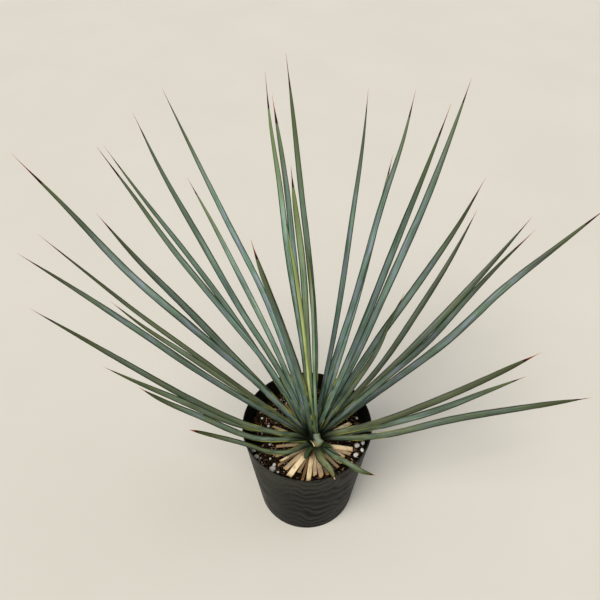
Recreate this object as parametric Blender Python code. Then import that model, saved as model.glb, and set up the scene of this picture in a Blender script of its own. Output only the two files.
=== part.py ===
"""Potted blue yucca: a nursery can, its soil, a short stem with cut dry leaf bases, and stiff blades.

Units are metres, +Z is up, and the origin is the middle of the pot's underside. The blades are laid out
from one photograph: each is given by where its tip shows there and by how high the tip really stands.
Run it with blender --background --python part.py, or from the text editor.
"""

import math

import bmesh
import bpy
import numpy as np
from mathutils import Matrix, Vector
from mathutils.bvhtree import BVHTree

MM = 0.001
GAP = 0.3 * MM  # left between pieces that touch

# The viewpoint that the photograph was taken from, worked out from the round rim and base of the pot.
EYE = np.array([-0.0149, -0.7572, 1.3700])
LOOK_DOWN = math.radians(44.71)
FOCAL_PX = 630.0
MIDDLE_PX = 300.0
EYE_RIGHT = np.array([1.0, 0.0, 0.0])
EYE_UP = np.array([0.0, math.sin(LOOK_DOWN), math.cos(LOOK_DOWN)])
EYE_AHEAD = np.array([0.0, math.cos(LOOK_DOWN), -math.sin(LOOK_DOWN)])

# Pot
POT_HEIGHT = 257.5 * MM
RIM_RADIUS = 136 * MM
BASE_RADIUS = 106.6 * MM
WALL = 2.0 * MM
BEAD = 1.3 * MM  # how far the rolled rim stands out from the wall
FLOOR = 2.5 * MM
PAD_RADIUS = 58 * MM  # flat middle that the pot stands on
GROOVE_RISE = 3.0 * MM
FOOT_WIDTH = 9 * MM
DRAIN_COUNT = 6
DRAIN_RADIUS = 6 * MM
DRAIN_RING = 78 * MM
POT_SIDES = 64

# Soil
SOIL_LEVEL = 210 * MM
SOIL_MOUND = 5 * MM
SOIL_RELIEF = 2.2 * MM
SOIL_SIDES = 60

# Stem
STEM_AXIS = np.array([0.013, -0.033])
STEM_RADIUS = 15.5 * MM
ROOT_RADIUS = 13 * MM
ROOT_BOTTOM = 120 * MM
STEM_TOP = 236 * MM
CROWN_BASE = 242 * MM
CROWN_RISE = 40 * MM
STEM_SIDES = 28

# Leaves
LEAF_THICK = 1.9 * MM
LEAF_EDGE = 0.7 * MM
CHANNEL = 0.26  # how far the edges stand up, as a share of the half width
LEAF_ROOM = 0.4 * MM  # room left round a leaf when it is seated among the others
STATIONS = (0, 0.04, 0.1, 0.18, 0.27, 0.36, 0.45, 0.54, 0.63, 0.71, 0.79, 0.86, 0.91, 0.945, 0.965, 0.985, 1)
# Width along the blade as a share of its widest: place, width.
OUTLINE = ((0, 0.50), (0.08, 0.58), (0.25, 0.82), (0.45, 0.99), (0.58, 0.97), (0.70, 0.84), (0.80, 0.64),
           (0.86, 0.48), (0.91, 0.32), (0.94, 0.20), (0.965, 0.10), (1.0, 0.05))
# The same for the leaves that stay broad almost to the tip.
BLUNT_OUTLINE = ((0, 0.50), (0.08, 0.58), (0.25, 0.82), (0.45, 0.99), (0.58, 0.98), (0.70, 0.90), (0.80, 0.77),
                 (0.86, 0.66), (0.91, 0.45), (0.94, 0.26), (0.965, 0.12), (1.0, 0.05))
BLUNT_LEAVES = ("heart_3", "tall_1", "tall_3", "back_2", "left_8", "right_7", "right_9", "front_1")

# Each leaf: name, tip in the photograph (px), height of the tip, points that its middle line passes (px),
# widest width, and the side of the stem that it grows from (degrees, None for the side it leans to).
LEAVES = (
    ("heart_1", (286, 223), 800, ((294.3, 263), (301, 304), (307.7, 362), (310, 388)), 11, -60),
    ("heart_2", (303.4, 231.7), 760, ((308.7, 261.5), (311.5, 290), (313.4, 330), (314.3, 372)), 6.5, 70),
    ("heart_3", (291, 165), 840, ((296, 205), (303, 257), (309, 350)), 14, 100),
    ("tall_1", (251, 240), 780, ((260, 268), (280, 322), (302, 386)), 19, -125),
    ("tall_2", (265, 72), 1000, ((270, 121), (279.4, 183), (287, 245), (302, 340)), 13, 90),
    ("tall_3", (286, 53), 1020, ((294, 117), (302.5, 194), (310.6, 263.5), (316.3, 345)), 13.5, 60),
    ("tall_4", (368.5, 88), 850, ((363.7, 137), (352, 219), (337.5, 315)), 11, None),
    ("tall_5", (97, 147), 900, ((130, 191), (170, 246), (220, 307), (270, 369)), 16.5, None),
    ("tall_6", (451, 104), 930, ((432, 154), (398, 238.5), (363.5, 325)), 16, None),
    ("back_1", (162, 88), 860, ((190, 146), (230, 227), (260, 286), (285, 350)), 12.5, None),
    ("back_2", (272, 93), 800, ((277, 122), (287, 184.6), (295, 258)), 14, None),
    ("back_3", (416, 89), 800, ((403, 141), (383, 201), (357, 292), (327.5, 383)), 14, None),
    ("back_4", (393, 154), 620, ((370, 250), (334, 375)), 13.5, None),
    ("back_5", (472, 77), 820, ((455, 125), (425, 203), (392, 277), (357, 354)), 16.5, None),
    ("back_6", (133, 113), 760, ((160, 168.5), (200, 239), (240, 308.5), (280, 372)), 14, None),
    ("back_7", (104, 146), 700, ((140, 194.4), (190, 258), (236, 320)), 12.5, None),
    ("back_8", (187, 177), 580, ((210, 218.5), (240, 276.7), (280, 358)), 13, None),
    ("left_1", (12, 154), 800, ((58.5, 200), (130, 274.4), (200, 334.4), (260, 386)), 17.5, None),
    ("left_2", (96, 213), 580, ((135, 257), (190, 312), (250, 374)), 17, None),
    ("left_3", (38.5, 234.5), 760, ((75, 263.6), (138, 313.3), (195, 354.6), (241, 388)), 11.5, None),
    ("left_4", (17, 253), 620, ((58, 278.5), (138, 330.6), (199, 371.7), (257, 407)), 15.5, None),
    ("left_5", (110, 301), 450, ((142.5, 326), (186, 354.6), (257, 401.5)), 13, None),
    ("left_6", (29, 308), 540, ((73, 333), (130.6, 366), (199, 403.5), (262, 429.4)), 14.5, None),
    ("left_7", (103, 366.5), 400, ((130.6, 379.4), (180, 400.5), (238, 424.6)), 15.5, None),
    ("left_8", (138, 387), 340, ((159, 398.7), (199, 416), (262, 439)), 15, None),
    ("right_1", (485.5, 178), 740, ((460.5, 221.5), (420, 281), (374, 345)), 16, None),
    ("right_2", (404.5, 293), 620, ((390.4, 321), (379.4, 346), (357, 381)), 13.5, None),
    ("right_3", (478, 208.5), 600, ((453, 255), (420, 308), (370, 378.5)), 13.5, None),
    ("right_4", (532.5, 216.5), 600, ((496, 258.5), (455, 303.6), (401, 359)), 16, None),
    ("right_5", (535.5, 229.5), 720, ((496, 268), (465.6, 300.5), (430, 340), (380, 383)), 15.5, None),
    ("right_6", (612, 204), 680, ((563, 242), (501, 291), (450.5, 338), (394, 380.4)), 18.5, None),
    ("right_7", (542, 352), 440, ((500, 372.6), (436, 401), (367, 425.6)), 16.5, None),
    ("right_8", (527, 376), 330, ((493, 389), (436, 410.7), (381, 426)), 16.5, None),
    ("right_9", (592, 397.5), 400, ((542, 405), (457.6, 418.5), (370, 437)), 17, None),
    ("front_1", (185, 428.5), 300, ((214, 436), (242.5, 443.5), (268, 451.5), (288, 452)), 17, -130),
    ("front_2", (335, 479.5), 240, ((331, 471), (322, 460)), 13, -85),
    ("front_3", (376, 475.6), 275, ((362, 471.5), (343, 460.5), (332, 455)), 15, -50),
)

# The short folded leaf in front of the crown: where its middle line shows (px) and its height (mm).
CURL_PATH = (((315.2, 433.5), 280.1), ((319.8, 438.5), 280.5), ((317.5, 443.2), 275), ((311.5, 441.2), 272))
CURL_ACROSS = np.array([0.62, 0.556, 0.561])  # the way it is wide: square to the sight line, up and to the right
CURL_HALF = (5.2, 6.2, 5.0, 1.6)  # half width at those points (mm)

# Cut dry leaf bases: where the outer end shows in the photograph (px), its height and the width (mm).
STUBS = (
    ((278, 448.6), 226, 9), ((276, 455), 221, 8), ((281, 459), 224, 9), ((284, 469), 221, 10),
    ((288, 476.5), 224, 11), ((297, 474), 220, 9), ((307, 481), 223, 11), ((314.5, 475), 221, 10),
    ((321, 477), 220, 9), ((330, 468), 222, 10), ((339, 468), 220, 8), ((345, 459), 223, 11),
    ((351.5, 455), 220, 9), ((356, 448.6), 225, 11), ((350, 422.5), 231, 12), ((336, 413), 236, 10),
    ((282, 404), 238, 9), ((272, 425.6), 228, 9), ((302, 396), 236, 9), ((322, 400), 232, 10),
)
STUB_THICK = 2.6 * MM

# Cut green leaf bases higher up, on the crown.
GREEN_STUBS = (
    ((289, 455), 240, 11), ((301, 457.5), 239, 10), ((312, 455.5), 240, 10), ((324, 455), 241, 11),
    ((335, 454.5), 241, 11), ((341, 443), 243, 9), ((285, 440), 243, 9),
)

# Pale pumice on the soil: where it shows (px) and its size across (mm).
PUMICE = (
    ((253, 450.6), 12), ((256, 458.3), 9), ((270, 444), 7), ((270.4, 459), 8), ((273.8, 465), 9),
    ((272.3, 470), 13), ((278, 472), 7), ((268.5, 425.6), 7), ((357, 446), 12), ((356, 455.4), 12),
    ((363, 443), 9), ((362, 450.6), 10), ((351.5, 463), 8), ((262, 418), 6), ((352, 408), 8), ((357, 418), 7),
)
CHIP_COUNT = 26
CHIP_SEED = 5


def at_height(pixel, height):
    """The point at this height that shows at this pixel of the photograph."""
    ray = sight_line(pixel)
    return EYE + ray * (height - EYE[2]) / ray[2]


def sight_line(pixel):
    right = (pixel[0] - MIDDLE_PX) / FOCAL_PX
    up = (MIDDLE_PX - pixel[1]) / FOCAL_PX
    ray = right * EYE_RIGHT + up * EYE_UP + EYE_AHEAD
    return ray / np.linalg.norm(ray)


# Materials and objects


def linear(hex_colour):
    channels = [int(hex_colour[i : i + 2], 16) / 255 for i in (1, 3, 5)]
    return [c / 12.92 if c <= 0.04045 else ((c + 0.055) / 1.055) ** 2.4 for c in channels]


def make_material(name, hex_colour, roughness):
    material = bpy.data.materials.new(name)
    material.use_nodes = True
    shader = material.node_tree.nodes["Principled BSDF"]
    shader.inputs["Base Color"].default_value = (*linear(hex_colour), 1)
    shader.inputs["Roughness"].default_value = roughness
    shader.inputs["Metallic"].default_value = 0
    material.diffuse_color = (*linear(hex_colour), 1)
    return material


def add_object(name, verts, faces, material, sharp=35):
    mesh = bpy.data.meshes.new(name)
    mesh.from_pydata([tuple(v) for v in verts], [], faces)
    mesh.materials.append(material)
    mesh.shade_smooth()
    mesh.set_sharp_from_angle(angle=math.radians(sharp))
    obj = bpy.data.objects.new(name, mesh)
    bpy.context.scene.collection.objects.link(obj)
    return obj


def boolean(target, tools, operation, solver):
    """Fuses the tools with the target, or cuts them from it, then removes them."""
    group = bpy.data.collections.new("tools")
    bpy.context.scene.collection.children.link(group)
    for tool in tools:
        bpy.context.scene.collection.objects.unlink(tool)
        group.objects.link(tool)
    modifier = target.modifiers.new(operation.lower(), "BOOLEAN")
    modifier.operation = operation
    modifier.solver = solver
    modifier.operand_type = "COLLECTION"
    modifier.collection = group
    graph = bpy.context.evaluated_depsgraph_get()
    result = bpy.data.meshes.new_from_object(target.evaluated_get(graph))
    target.modifiers.clear()
    target.data = result
    for tool in tools:
        bpy.data.objects.remove(tool)
    bpy.data.collections.remove(group)


# Turned shapes


def ring(radius, height, sides, centre=(0.0, 0.0)):
    angles = np.arange(sides) * 2 * math.pi / sides
    x = centre[0] + radius * np.cos(angles)
    y = centre[1] + radius * np.sin(angles)
    return np.column_stack([x, y, np.full(sides, height)])


def skin(rings, start, end):
    """Triangles over a stack of rings, closed by the points start and end. Rings climb the outside."""
    sides = len(rings[0])
    verts = np.vstack([[start], *rings, [end]])
    last = len(verts) - 1
    faces = []
    for i in range(sides):
        j = (i + 1) % sides
        faces.append((0, 1 + j, 1 + i))
        top = 1 + (len(rings) - 1) * sides
        faces.append((last, top + i, top + j))
        for k in range(len(rings) - 1):
            low = 1 + k * sides
            high = low + sides
            faces.append((low + i, low + j, high + j))
            faces.append((low + i, high + j, high + i))
    return verts, faces


def wall_radius(height):
    """Outer radius of the pot's straight wall."""
    return BASE_RADIUS + (RIM_RADIUS - BEAD - BASE_RADIUS) * height / (POT_HEIGHT - 6 * MM)


def pot_inside():
    """The inside of the pot from the floor's middle to the rim, as radius and height."""
    raised = GROOVE_RISE + FLOOR
    foot = wall_radius(raised) - WALL
    return [
        (PAD_RADIUS - FLOOR, FLOOR),
        (PAD_RADIUS + FLOOR, raised),
        (foot - 2 * MM, raised),
        (wall_radius(raised + 2 * MM) - WALL, raised + 2 * MM),
        (wall_radius(SOIL_LEVEL) - WALL, SOIL_LEVEL),
        (wall_radius(POT_HEIGHT - 8 * MM) - WALL, POT_HEIGHT - 8 * MM),
        (RIM_RADIUS - 3.2 * MM, POT_HEIGHT - 1 * MM),
    ]


def pot_outside():
    foot_inner = BASE_RADIUS - FOOT_WIDTH
    return [
        (PAD_RADIUS, 0),
        (PAD_RADIUS + GROOVE_RISE, GROOVE_RISE),
        (foot_inner - GROOVE_RISE, GROOVE_RISE),
        (foot_inner, 0),
        (BASE_RADIUS - 1.5 * MM, 0),
        (wall_radius(1.5 * MM), 1.5 * MM),
        (wall_radius(POT_HEIGHT - 9 * MM), POT_HEIGHT - 9 * MM),
        (RIM_RADIUS - 0.6 * MM, POT_HEIGHT - 7.5 * MM),
        (RIM_RADIUS, POT_HEIGHT - 6 * MM),
        (RIM_RADIUS, POT_HEIGHT - 1.5 * MM),
        (RIM_RADIUS - 1.2 * MM, POT_HEIGHT),
        (RIM_RADIUS - 2.6 * MM, POT_HEIGHT),
    ]


def build_pot(material):
    profile = pot_outside() + pot_inside()[::-1]
    rings = [ring(r, z, POT_SIDES) for r, z in profile]
    verts, faces = skin(rings, (0, 0, 0), (0, 0, FLOOR))
    pot = add_object("pot", verts, faces, material)
    drills = []
    for angle in np.arange(DRAIN_COUNT) * 2 * math.pi / DRAIN_COUNT:
        centre = (DRAIN_RING * math.cos(angle), DRAIN_RING * math.sin(angle))
        walls = [ring(DRAIN_RADIUS, z, 16, centre) for z in (-5 * MM, 12 * MM)]
        verts, faces = skin(walls, (*centre, -5 * MM), (*centre, 12 * MM))
        drills.append(add_object("drill", verts, faces, material))
    boolean(pot, drills, "DIFFERENCE", "EXACT")
    return pot


# Soil


def soil_height(x, y):
    """The uneven top of the soil, calm around the stem and at the wall."""
    from_stem = np.hypot(x - STEM_AXIS[0], y - STEM_AXIS[1])
    mound = SOIL_MOUND * np.exp(-((from_stem / 0.05) ** 2))
    waves = np.sin(83 * x + 2) * np.cos(71 * y) + 0.6 * np.sin(160 * x - 131 * y) + 0.4 * np.cos(290 * y + 210 * x)
    calm = 1 - np.exp(-((from_stem / 0.035) ** 2))
    return SOIL_LEVEL + mound + SOIL_RELIEF * 0.5 * waves * calm


def root_radius(height):
    return np.interp(height, [ROOT_BOTTOM, SOIL_LEVEL], [0.45 * ROOT_RADIUS, ROOT_RADIUS])


def build_soil(material):
    low = [(r - GAP, z + GAP) for r, z in pot_inside()[:4]]
    edge = wall_radius(SOIL_LEVEL) - WALL - GAP
    rings = [ring(r, z, SOIL_SIDES) for r, z in low]
    hole_radius = float(root_radius(SOIL_LEVEL)) + GAP
    outer = ring(edge, 0, SOIL_SIDES)
    inner = ring(hole_radius, 0, SOIL_SIDES, STEM_AXIS)
    for share in (0, 0.1, 0.22, 0.36, 0.5, 0.64, 0.77, 0.89, 1):
        top = outer + (inner - outer) * share
        top[:, 2] = soil_height(top[:, 0], top[:, 1]) if share else SOIL_LEVEL
        rings.append(top)
    rings.append(ring(hole_radius, SOIL_LEVEL, SOIL_SIDES, STEM_AXIS))
    rings.append(ring(float(root_radius(ROOT_BOTTOM)) + GAP, ROOT_BOTTOM - GAP, SOIL_SIDES, STEM_AXIS))
    verts, faces = skin(rings, (0, 0, FLOOR + GAP), (*STEM_AXIS, ROOT_BOTTOM - GAP))
    soil = add_object("soil", verts, faces, material, 60)
    boolean(soil, pumice_chunks(material) + bark_chips(material), "UNION", "MANIFOLD")
    return soil


def pumice_chunks(material):
    rng = np.random.default_rng(CHIP_SEED)
    chunks = []
    for pixel, size in PUMICE:
        spot = at_height(pixel, SOIL_LEVEL + 3 * MM)
        mesh = bmesh.new()
        bmesh.ops.create_icosphere(mesh, subdivisions=2 if size > 8 else 1, radius=size * MM / 2)
        points = np.array([v.co for v in mesh.verts])
        faces = [tuple(v.index for v in f.verts) for f in mesh.faces]
        mesh.free()
        points *= rng.uniform(0.8, 1.08, (len(points), 1)) * (1, 0.85, 0.7)
        points = points @ np.array(Matrix.Rotation(rng.uniform(0, math.pi), 3, "Z"))
        points += (spot[0], spot[1], soil_height(spot[0], spot[1]) + 0.12 * size * MM)
        chunks.append(add_object("pumice", points, faces, material, 60))
    return chunks


def bark_chips(material):
    """Flat slivers of bark, tilted and half sunk, behind and beside the stem."""
    rng = np.random.default_rng(CHIP_SEED)
    chips = []
    for number in range(CHIP_COUNT):
        angle = math.radians(-30 + 240 * (number + rng.uniform(0, 0.7)) / CHIP_COUNT)
        reach = rng.uniform(0.045, 0.105)
        x, y = reach * math.cos(angle), reach * math.sin(angle)
        box = bmesh.new()
        bmesh.ops.create_cube(box, size=1)
        points = np.array([v.co for v in box.verts]) * (rng.uniform(9, 18), rng.uniform(4, 8), 3.0) * MM
        faces = [tuple(v.index for v in f.verts) for f in box.faces]
        box.free()
        turn = Matrix.Rotation(rng.uniform(0, math.pi), 3, "Z") @ Matrix.Rotation(rng.uniform(-0.3, 0.3), 3, "Y")
        points = points @ np.array(turn).T + (x, y, soil_height(x, y) + 0.4 * MM)
        chips.append(add_object("chip", points, faces, material, 60))
    return chips


# Blades


def blade(points, across, half_width, thick, edge, spare=0.0):
    """A channelled blade along the points: six corners a station. spare swells it on every side."""
    along = np.gradient(points, axis=0)
    along /= np.linalg.norm(along, axis=1)[:, None]
    width = across - along * (along @ across)[:, None]
    width /= np.linalg.norm(width, axis=1)[:, None]
    face = np.cross(along, width)
    rise = CHANNEL * half_width
    middle = np.zeros_like(rise)
    side = half_width + spare
    top = rise / 2 + spare
    under = rise / 2 - edge - spare
    corners = (
        (-side, top), (middle, top - rise), (side, top),
        (side, under), (middle, -rise / 2 - thick - spare), (-side, under),
    )
    rings = [points + width * u[:, None] + face * v[:, None] for u, v in corners]
    return np.stack(rings, axis=1).reshape(-1, 3), blade_faces(len(points))


def blade_faces(stations):
    faces = [(0, 1, 4), (0, 4, 5), (1, 2, 3), (1, 3, 4)]
    for k in range(stations - 1):
        a, b = 6 * k, 6 * (k + 1)
        for i, j, leaning in ((0, 1, 1), (1, 2, 1), (2, 3, 1), (3, 4, 0), (4, 5, 0), (5, 0, 1)):
            if leaning:
                faces += [(a + i, b + j, a + j), (a + i, b + i, b + j)]
            else:
                faces += [(a + i, b + i, a + j), (a + j, b + i, b + j)]
    end = 6 * (stations - 1)
    faces += [tuple(end + i for i in reversed(f)) for f in ((0, 1, 4), (0, 4, 5), (1, 2, 3), (1, 3, 4))]
    return faces


# Stem


def stem_profile():
    """Radius and height of the stem from the bottom of the rootstock to its flat top."""
    return [
        (0.45 * ROOT_RADIUS, ROOT_BOTTOM),
        (ROOT_RADIUS, SOIL_LEVEL),
        (ROOT_RADIUS, SOIL_LEVEL + SOIL_MOUND + 1 * MM),
        (STEM_RADIUS, SOIL_LEVEL + SOIL_MOUND + 4 * MM),
        (STEM_RADIUS, STEM_TOP),
    ]


def crown_profile():
    """Radius and height of the green crown that stands on the stem."""
    return [
        (STEM_RADIUS, STEM_TOP + GAP),
        (STEM_RADIUS, CROWN_BASE),
        (0.86 * STEM_RADIUS, CROWN_BASE + 0.34 * CROWN_RISE),
        (0.62 * STEM_RADIUS, CROWN_BASE + 0.66 * CROWN_RISE),
        (0.30 * STEM_RADIUS, CROWN_BASE + 0.93 * CROWN_RISE),
    ]


def build_stem(material):
    rings = [ring(r, z, STEM_SIDES, STEM_AXIS) for r, z in stem_profile()]
    verts, faces = skin(rings, (*STEM_AXIS, ROOT_BOTTOM), (*STEM_AXIS, STEM_TOP))
    stem = add_object("stem", verts, faces, material)
    stubs = [build_stub(material, 225 * MM, number, *row) for number, row in enumerate(STUBS)]
    boolean(stem, stubs, "UNION", "MANIFOLD")
    return stem


def build_crown(material):
    rings = [ring(r, z, STEM_SIDES, STEM_AXIS) for r, z in crown_profile()]
    verts, faces = skin(rings, (*STEM_AXIS, STEM_TOP + GAP), (*STEM_AXIS, CROWN_BASE + CROWN_RISE))
    crown = add_object("crown", verts, faces, material)
    stubs = [build_stub(material, CROWN_BASE, number, *row) for number, row in enumerate(GREEN_STUBS)]
    boolean(crown, stubs, "UNION", "MANIFOLD")
    return crown


def build_stub(material, root_height, number, pixel, height, width):
    """One cut leaf base, from inside what it grows from to its square end."""
    end = at_height(pixel, height * MM)
    side = end[:2] - STEM_AXIS
    side /= np.linalg.norm(side)
    root = np.array([*(STEM_AXIS + 0.4 * STEM_RADIUS * side), root_height + (number % 3) * 1.5 * MM])
    places = np.array([0, 0.3, 0.7, 1.0])[:, None]
    points = root + (end - root) * places
    points[:, 2] += 2.5 * MM * np.sin(math.pi * places[:, 0])
    across = np.array([-side[1], side[0], 0.0])
    half = width * MM / 2 * np.array([1.0, 1.05, 0.98, 0.92])
    verts, faces = blade(points, across, half, STUB_THICK * np.ones(4), STUB_THICK * 0.7)
    return add_object("stub", verts, faces, material)


# Leaves


def leaf_line(root, tip, pixels, places):
    """A straight line from root to tip, bent sideways so that it shows at the given pixels."""
    chord = tip - root
    knots, offsets = [1.0], [np.zeros(3)]
    for pixel in pixels:
        ray = sight_line(pixel)
        share = nearest_share(root, chord, EYE, ray)
        on_chord = root + chord * share
        knots.append(share)
        offsets.append(EYE + ray * ((on_chord - EYE) @ ray) - on_chord)
    knots.append(0.0)
    offsets.append(np.zeros(3))
    return root + chord * places[:, None] + smooth_curve(np.array(knots[::-1]), np.array(offsets[::-1]), places)


def smooth_curve(knots, values, places):
    """A cubic through the values at the knots, with the slopes of a line through each knot's neighbours."""
    slopes = np.gradient(values, knots, axis=0)
    i = np.clip(np.searchsorted(knots, places, side="right") - 1, 0, len(knots) - 2)
    span = (knots[i + 1] - knots[i])[:, None]
    t = (places - knots[i])[:, None] / span
    start = values[i] * (1 + 2 * t) + slopes[i] * span * t
    end = values[i + 1] * (3 - 2 * t) - slopes[i + 1] * span * (1 - t)
    return start * (1 - t) ** 2 + end * t**2


def nearest_share(start, chord, eye, ray):
    """Where along the chord the sight line passes nearest to it."""
    gap = start - eye
    flat = chord - ray * (chord @ ray)
    return float(-(gap @ flat) / (flat @ flat))


def crown_radius(height):
    """Radius of the crown at a height, and less than nothing above its top."""
    radii, heights = np.array(crown_profile()).T
    return np.interp(height, heights, radii, right=-1)


def leaf_course(row, lift, tip_shift, swing):
    """What blade() needs for a leaf: its line, rooted so that its foot just clears the stem, and its widths."""
    name, tip_pixel, tip_height, pixels, width, side = row
    outline = BLUNT_OUTLINE if name in BLUNT_LEAVES else OUTLINE
    tip = at_height(tip_pixel, tip_height * MM + tip_shift)
    angle = math.atan2(*(tip[1::-1] - STEM_AXIS[::-1])) if side is None else math.radians(side)
    out = np.array([math.cos(angle + swing), math.sin(angle + swing), 0.0])
    across = np.array([-math.sin(angle), math.cos(angle), 0.0])
    height = CROWN_BASE + 3 * MM + 0.85 * CROWN_RISE * max(steepness(tip), 0) ** 1.3 + lift
    places = np.array(STATIONS)
    half = width * MM / 2 * np.interp(places, *np.array(outline).T)
    thick = LEAF_EDGE + (LEAF_THICK - LEAF_EDGE) * np.clip(half / (width * MM / 2) * 1.6, 0, 1)
    near, far = 0.0, 40 * MM
    for _ in range(12):
        reach = (near + far) / 2
        line = leaf_line(np.array([*STEM_AXIS, height]) + out * reach, tip, pixels, places)
        foot = blade(line, across, half, thick, LEAF_EDGE)[0][:6]
        distance = np.linalg.norm(foot[:, :2] - STEM_AXIS, axis=1)
        if (distance > crown_radius(foot[:, 2] - GAP) + GAP).all():
            far = reach
        else:
            near = reach
    line = leaf_line(np.array([*STEM_AXIS, height]) + out * far, tip, pixels, places)
    return line, across, half, thick, LEAF_EDGE


def steepness(tip):
    """0 for a leaf that lies flat and 1 for an upright one."""
    run = np.linalg.norm(tip[:2] - STEM_AXIS)
    return math.atan2(tip[2] - CROWN_BASE, run) / (math.pi / 2)


def curl_course():
    line = np.array([at_height(pixel, height * MM) for pixel, height in CURL_PATH])
    half = MM * np.array(CURL_HALF)
    return line, CURL_ACROSS, half, LEAF_THICK * np.array([1, 1, 0.9, 0.6]), LEAF_EDGE


def tree_of(verts, faces):
    return BVHTree.FromPolygons([Vector(v) for v in verts], faces)


def tree_of_object(obj):
    verts = np.array([v.co for v in obj.data.vertices])
    return tree_of(verts, [tuple(p.vertices) for p in obj.data.polygons])


def clears(course, crown_tree, other_trees):
    """True where the leaf misses the crown, and misses all else with room to spare."""
    if tree_of(*blade(*course)).overlap(crown_tree):
        return False
    swollen = tree_of(*blade(*course, spare=LEAF_ROOM))
    return not any(swollen.overlap(tree) for tree in other_trees)


def ways_to_seat(upright):
    """Ways to raise a foot, shift the tip along its sight line and swing the foot, the least change first."""
    swings = np.radians(np.arange(-120, 121, 15) if upright else (-20, -10, 0, 10, 20))
    lifts = np.arange(0, 22, 2 if upright else 1) * MM
    shifts = np.arange(-4, 5) * 15 * MM
    ways = [(lift, shift, swing) for lift in lifts for shift in shifts for swing in swings]
    return sorted(ways, key=lambda way: way[0] + abs(way[1]) / 8 + abs(way[2]) * 8 * MM)


def build_leaves(crown, others, materials):
    """Lays the flattest leaves first, each in the first place that clears those already there."""
    crown_tree = tree_of_object(crown)
    trees = [tree_of_object(obj) for obj in others]
    curl = blade(*curl_course())
    add_object("leaf_front_4", *curl, materials["front"])
    trees.append(tree_of(*curl))
    for row in sorted(LEAVES, key=lambda row: steepness(at_height(row[1], row[2] * MM))):
        for way in ways_to_seat(row[-1] is not None):
            course = leaf_course(row, *way)
            if clears(course, crown_tree, trees):
                break
        else:
            print("no clear place for", row[0])
        verts, faces = blade(*course)
        trees.append(tree_of(verts, faces))
        group = row[0].rsplit("_", 1)[0]
        add_object("leaf_" + row[0], verts, faces, materials[group])


def main():
    for obj in list(bpy.data.objects):
        bpy.data.objects.remove(obj)
    pot = build_pot(make_material("pot_plastic", "#262623", 0.45))
    soil = build_soil(make_material("soil_mix", "#2a1e15", 0.95))
    stem = build_stem(make_material("dry_leaf_base", "#cbb080", 0.8))
    crown = build_crown(make_material("leaf_base_green", "#4d5f3e", 0.6))
    blue = make_material("leaf_blue", "#6c7d73", 0.5)
    grey = make_material("leaf_grey_green", "#5b6858", 0.5)
    heart = make_material("leaf_young", "#7d8d5b", 0.5)
    materials = {"heart": heart, "tall": blue, "back": blue, "left": grey, "right": grey, "front": grey}
    build_leaves(crown, [pot, soil, stem], materials)


main()
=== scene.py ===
# %% [markdown]
# # A potted blue yucca
#
# A young trunkless yucca stands in a black nursery can. Stiff blue-green blades spread from one short stem,
# which wears a collar of dry, cut leaf bases. The imported model already gives every solid its place and its
# size, so this lesson starts from it and dresses each solid in a finer shape and a finish of its own.

# %% Load the frame
import math
from functools import partial, reduce

import bpy
import numpy as np
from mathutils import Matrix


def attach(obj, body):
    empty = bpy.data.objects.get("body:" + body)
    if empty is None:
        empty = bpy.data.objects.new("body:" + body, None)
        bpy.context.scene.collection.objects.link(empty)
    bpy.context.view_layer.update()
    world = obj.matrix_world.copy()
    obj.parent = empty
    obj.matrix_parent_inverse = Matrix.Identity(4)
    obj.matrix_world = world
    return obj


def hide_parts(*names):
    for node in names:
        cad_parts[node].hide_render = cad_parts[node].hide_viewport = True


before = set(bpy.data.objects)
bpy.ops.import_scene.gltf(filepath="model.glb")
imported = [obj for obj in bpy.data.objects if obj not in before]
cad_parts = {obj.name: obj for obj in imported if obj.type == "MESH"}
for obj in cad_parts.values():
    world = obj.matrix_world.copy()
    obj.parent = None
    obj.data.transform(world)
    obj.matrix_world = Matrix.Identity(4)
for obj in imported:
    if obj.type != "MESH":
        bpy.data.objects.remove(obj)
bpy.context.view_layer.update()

MM = 0.001
print("nodes in the packed model:", len(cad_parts))

# %% [markdown]
# ## The viewpoint
#
# The photograph looks down on the plant at 45 degrees from about chest height. The round rim and the
# round base of the can show as two ellipses, and these fix the height, the distance and the focal length.
# A lens given in pixels is turned into millimetres by the width of the sensor over the width of the picture.
#
# The two small functions go the other way: from a pixel to the sight line through it, and on to the point
# where that line meets a level plane. They place the few things that are read off the photograph.

# %% Camera
EYE = np.array([-0.0149, -0.7572, 1.3700])
LOOK_DOWN = math.radians(44.71)
FOCAL_PX = 630.0
PICTURE_PX = 600.0
SENSOR_MM = 36.0


def sight_line(pixel):
    """Unit vector: ahead, plus the pixel's distance right and up of the middle over the focal length."""
    right = (pixel[0] - PICTURE_PX / 2) / FOCAL_PX
    up = (PICTURE_PX / 2 - pixel[1]) / FOCAL_PX
    sine, cosine = math.sin(LOOK_DOWN), math.cos(LOOK_DOWN)
    ray = np.array([right, cosine + up * sine, up * cosine - sine])
    return ray / np.linalg.norm(ray)


def at_height(pixel, height):
    """The point on the sight line of the pixel that lies at the height, given in millimetres."""
    ray = sight_line(pixel)
    return EYE + ray * (height * MM - EYE[2]) / ray[2]


camera = bpy.data.objects.new("camera", bpy.data.cameras.new("camera"))
bpy.context.scene.collection.objects.link(camera)
camera.location = EYE
camera.rotation_euler = (math.pi / 2 - LOOK_DOWN, 0, 0)
camera.data.sensor_width = SENSOR_MM
camera.data.lens = SENSOR_MM * FOCAL_PX / PICTURE_PX
bpy.context.scene.camera = camera
print("lens, mm:", round(camera.data.lens, 1))

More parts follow.
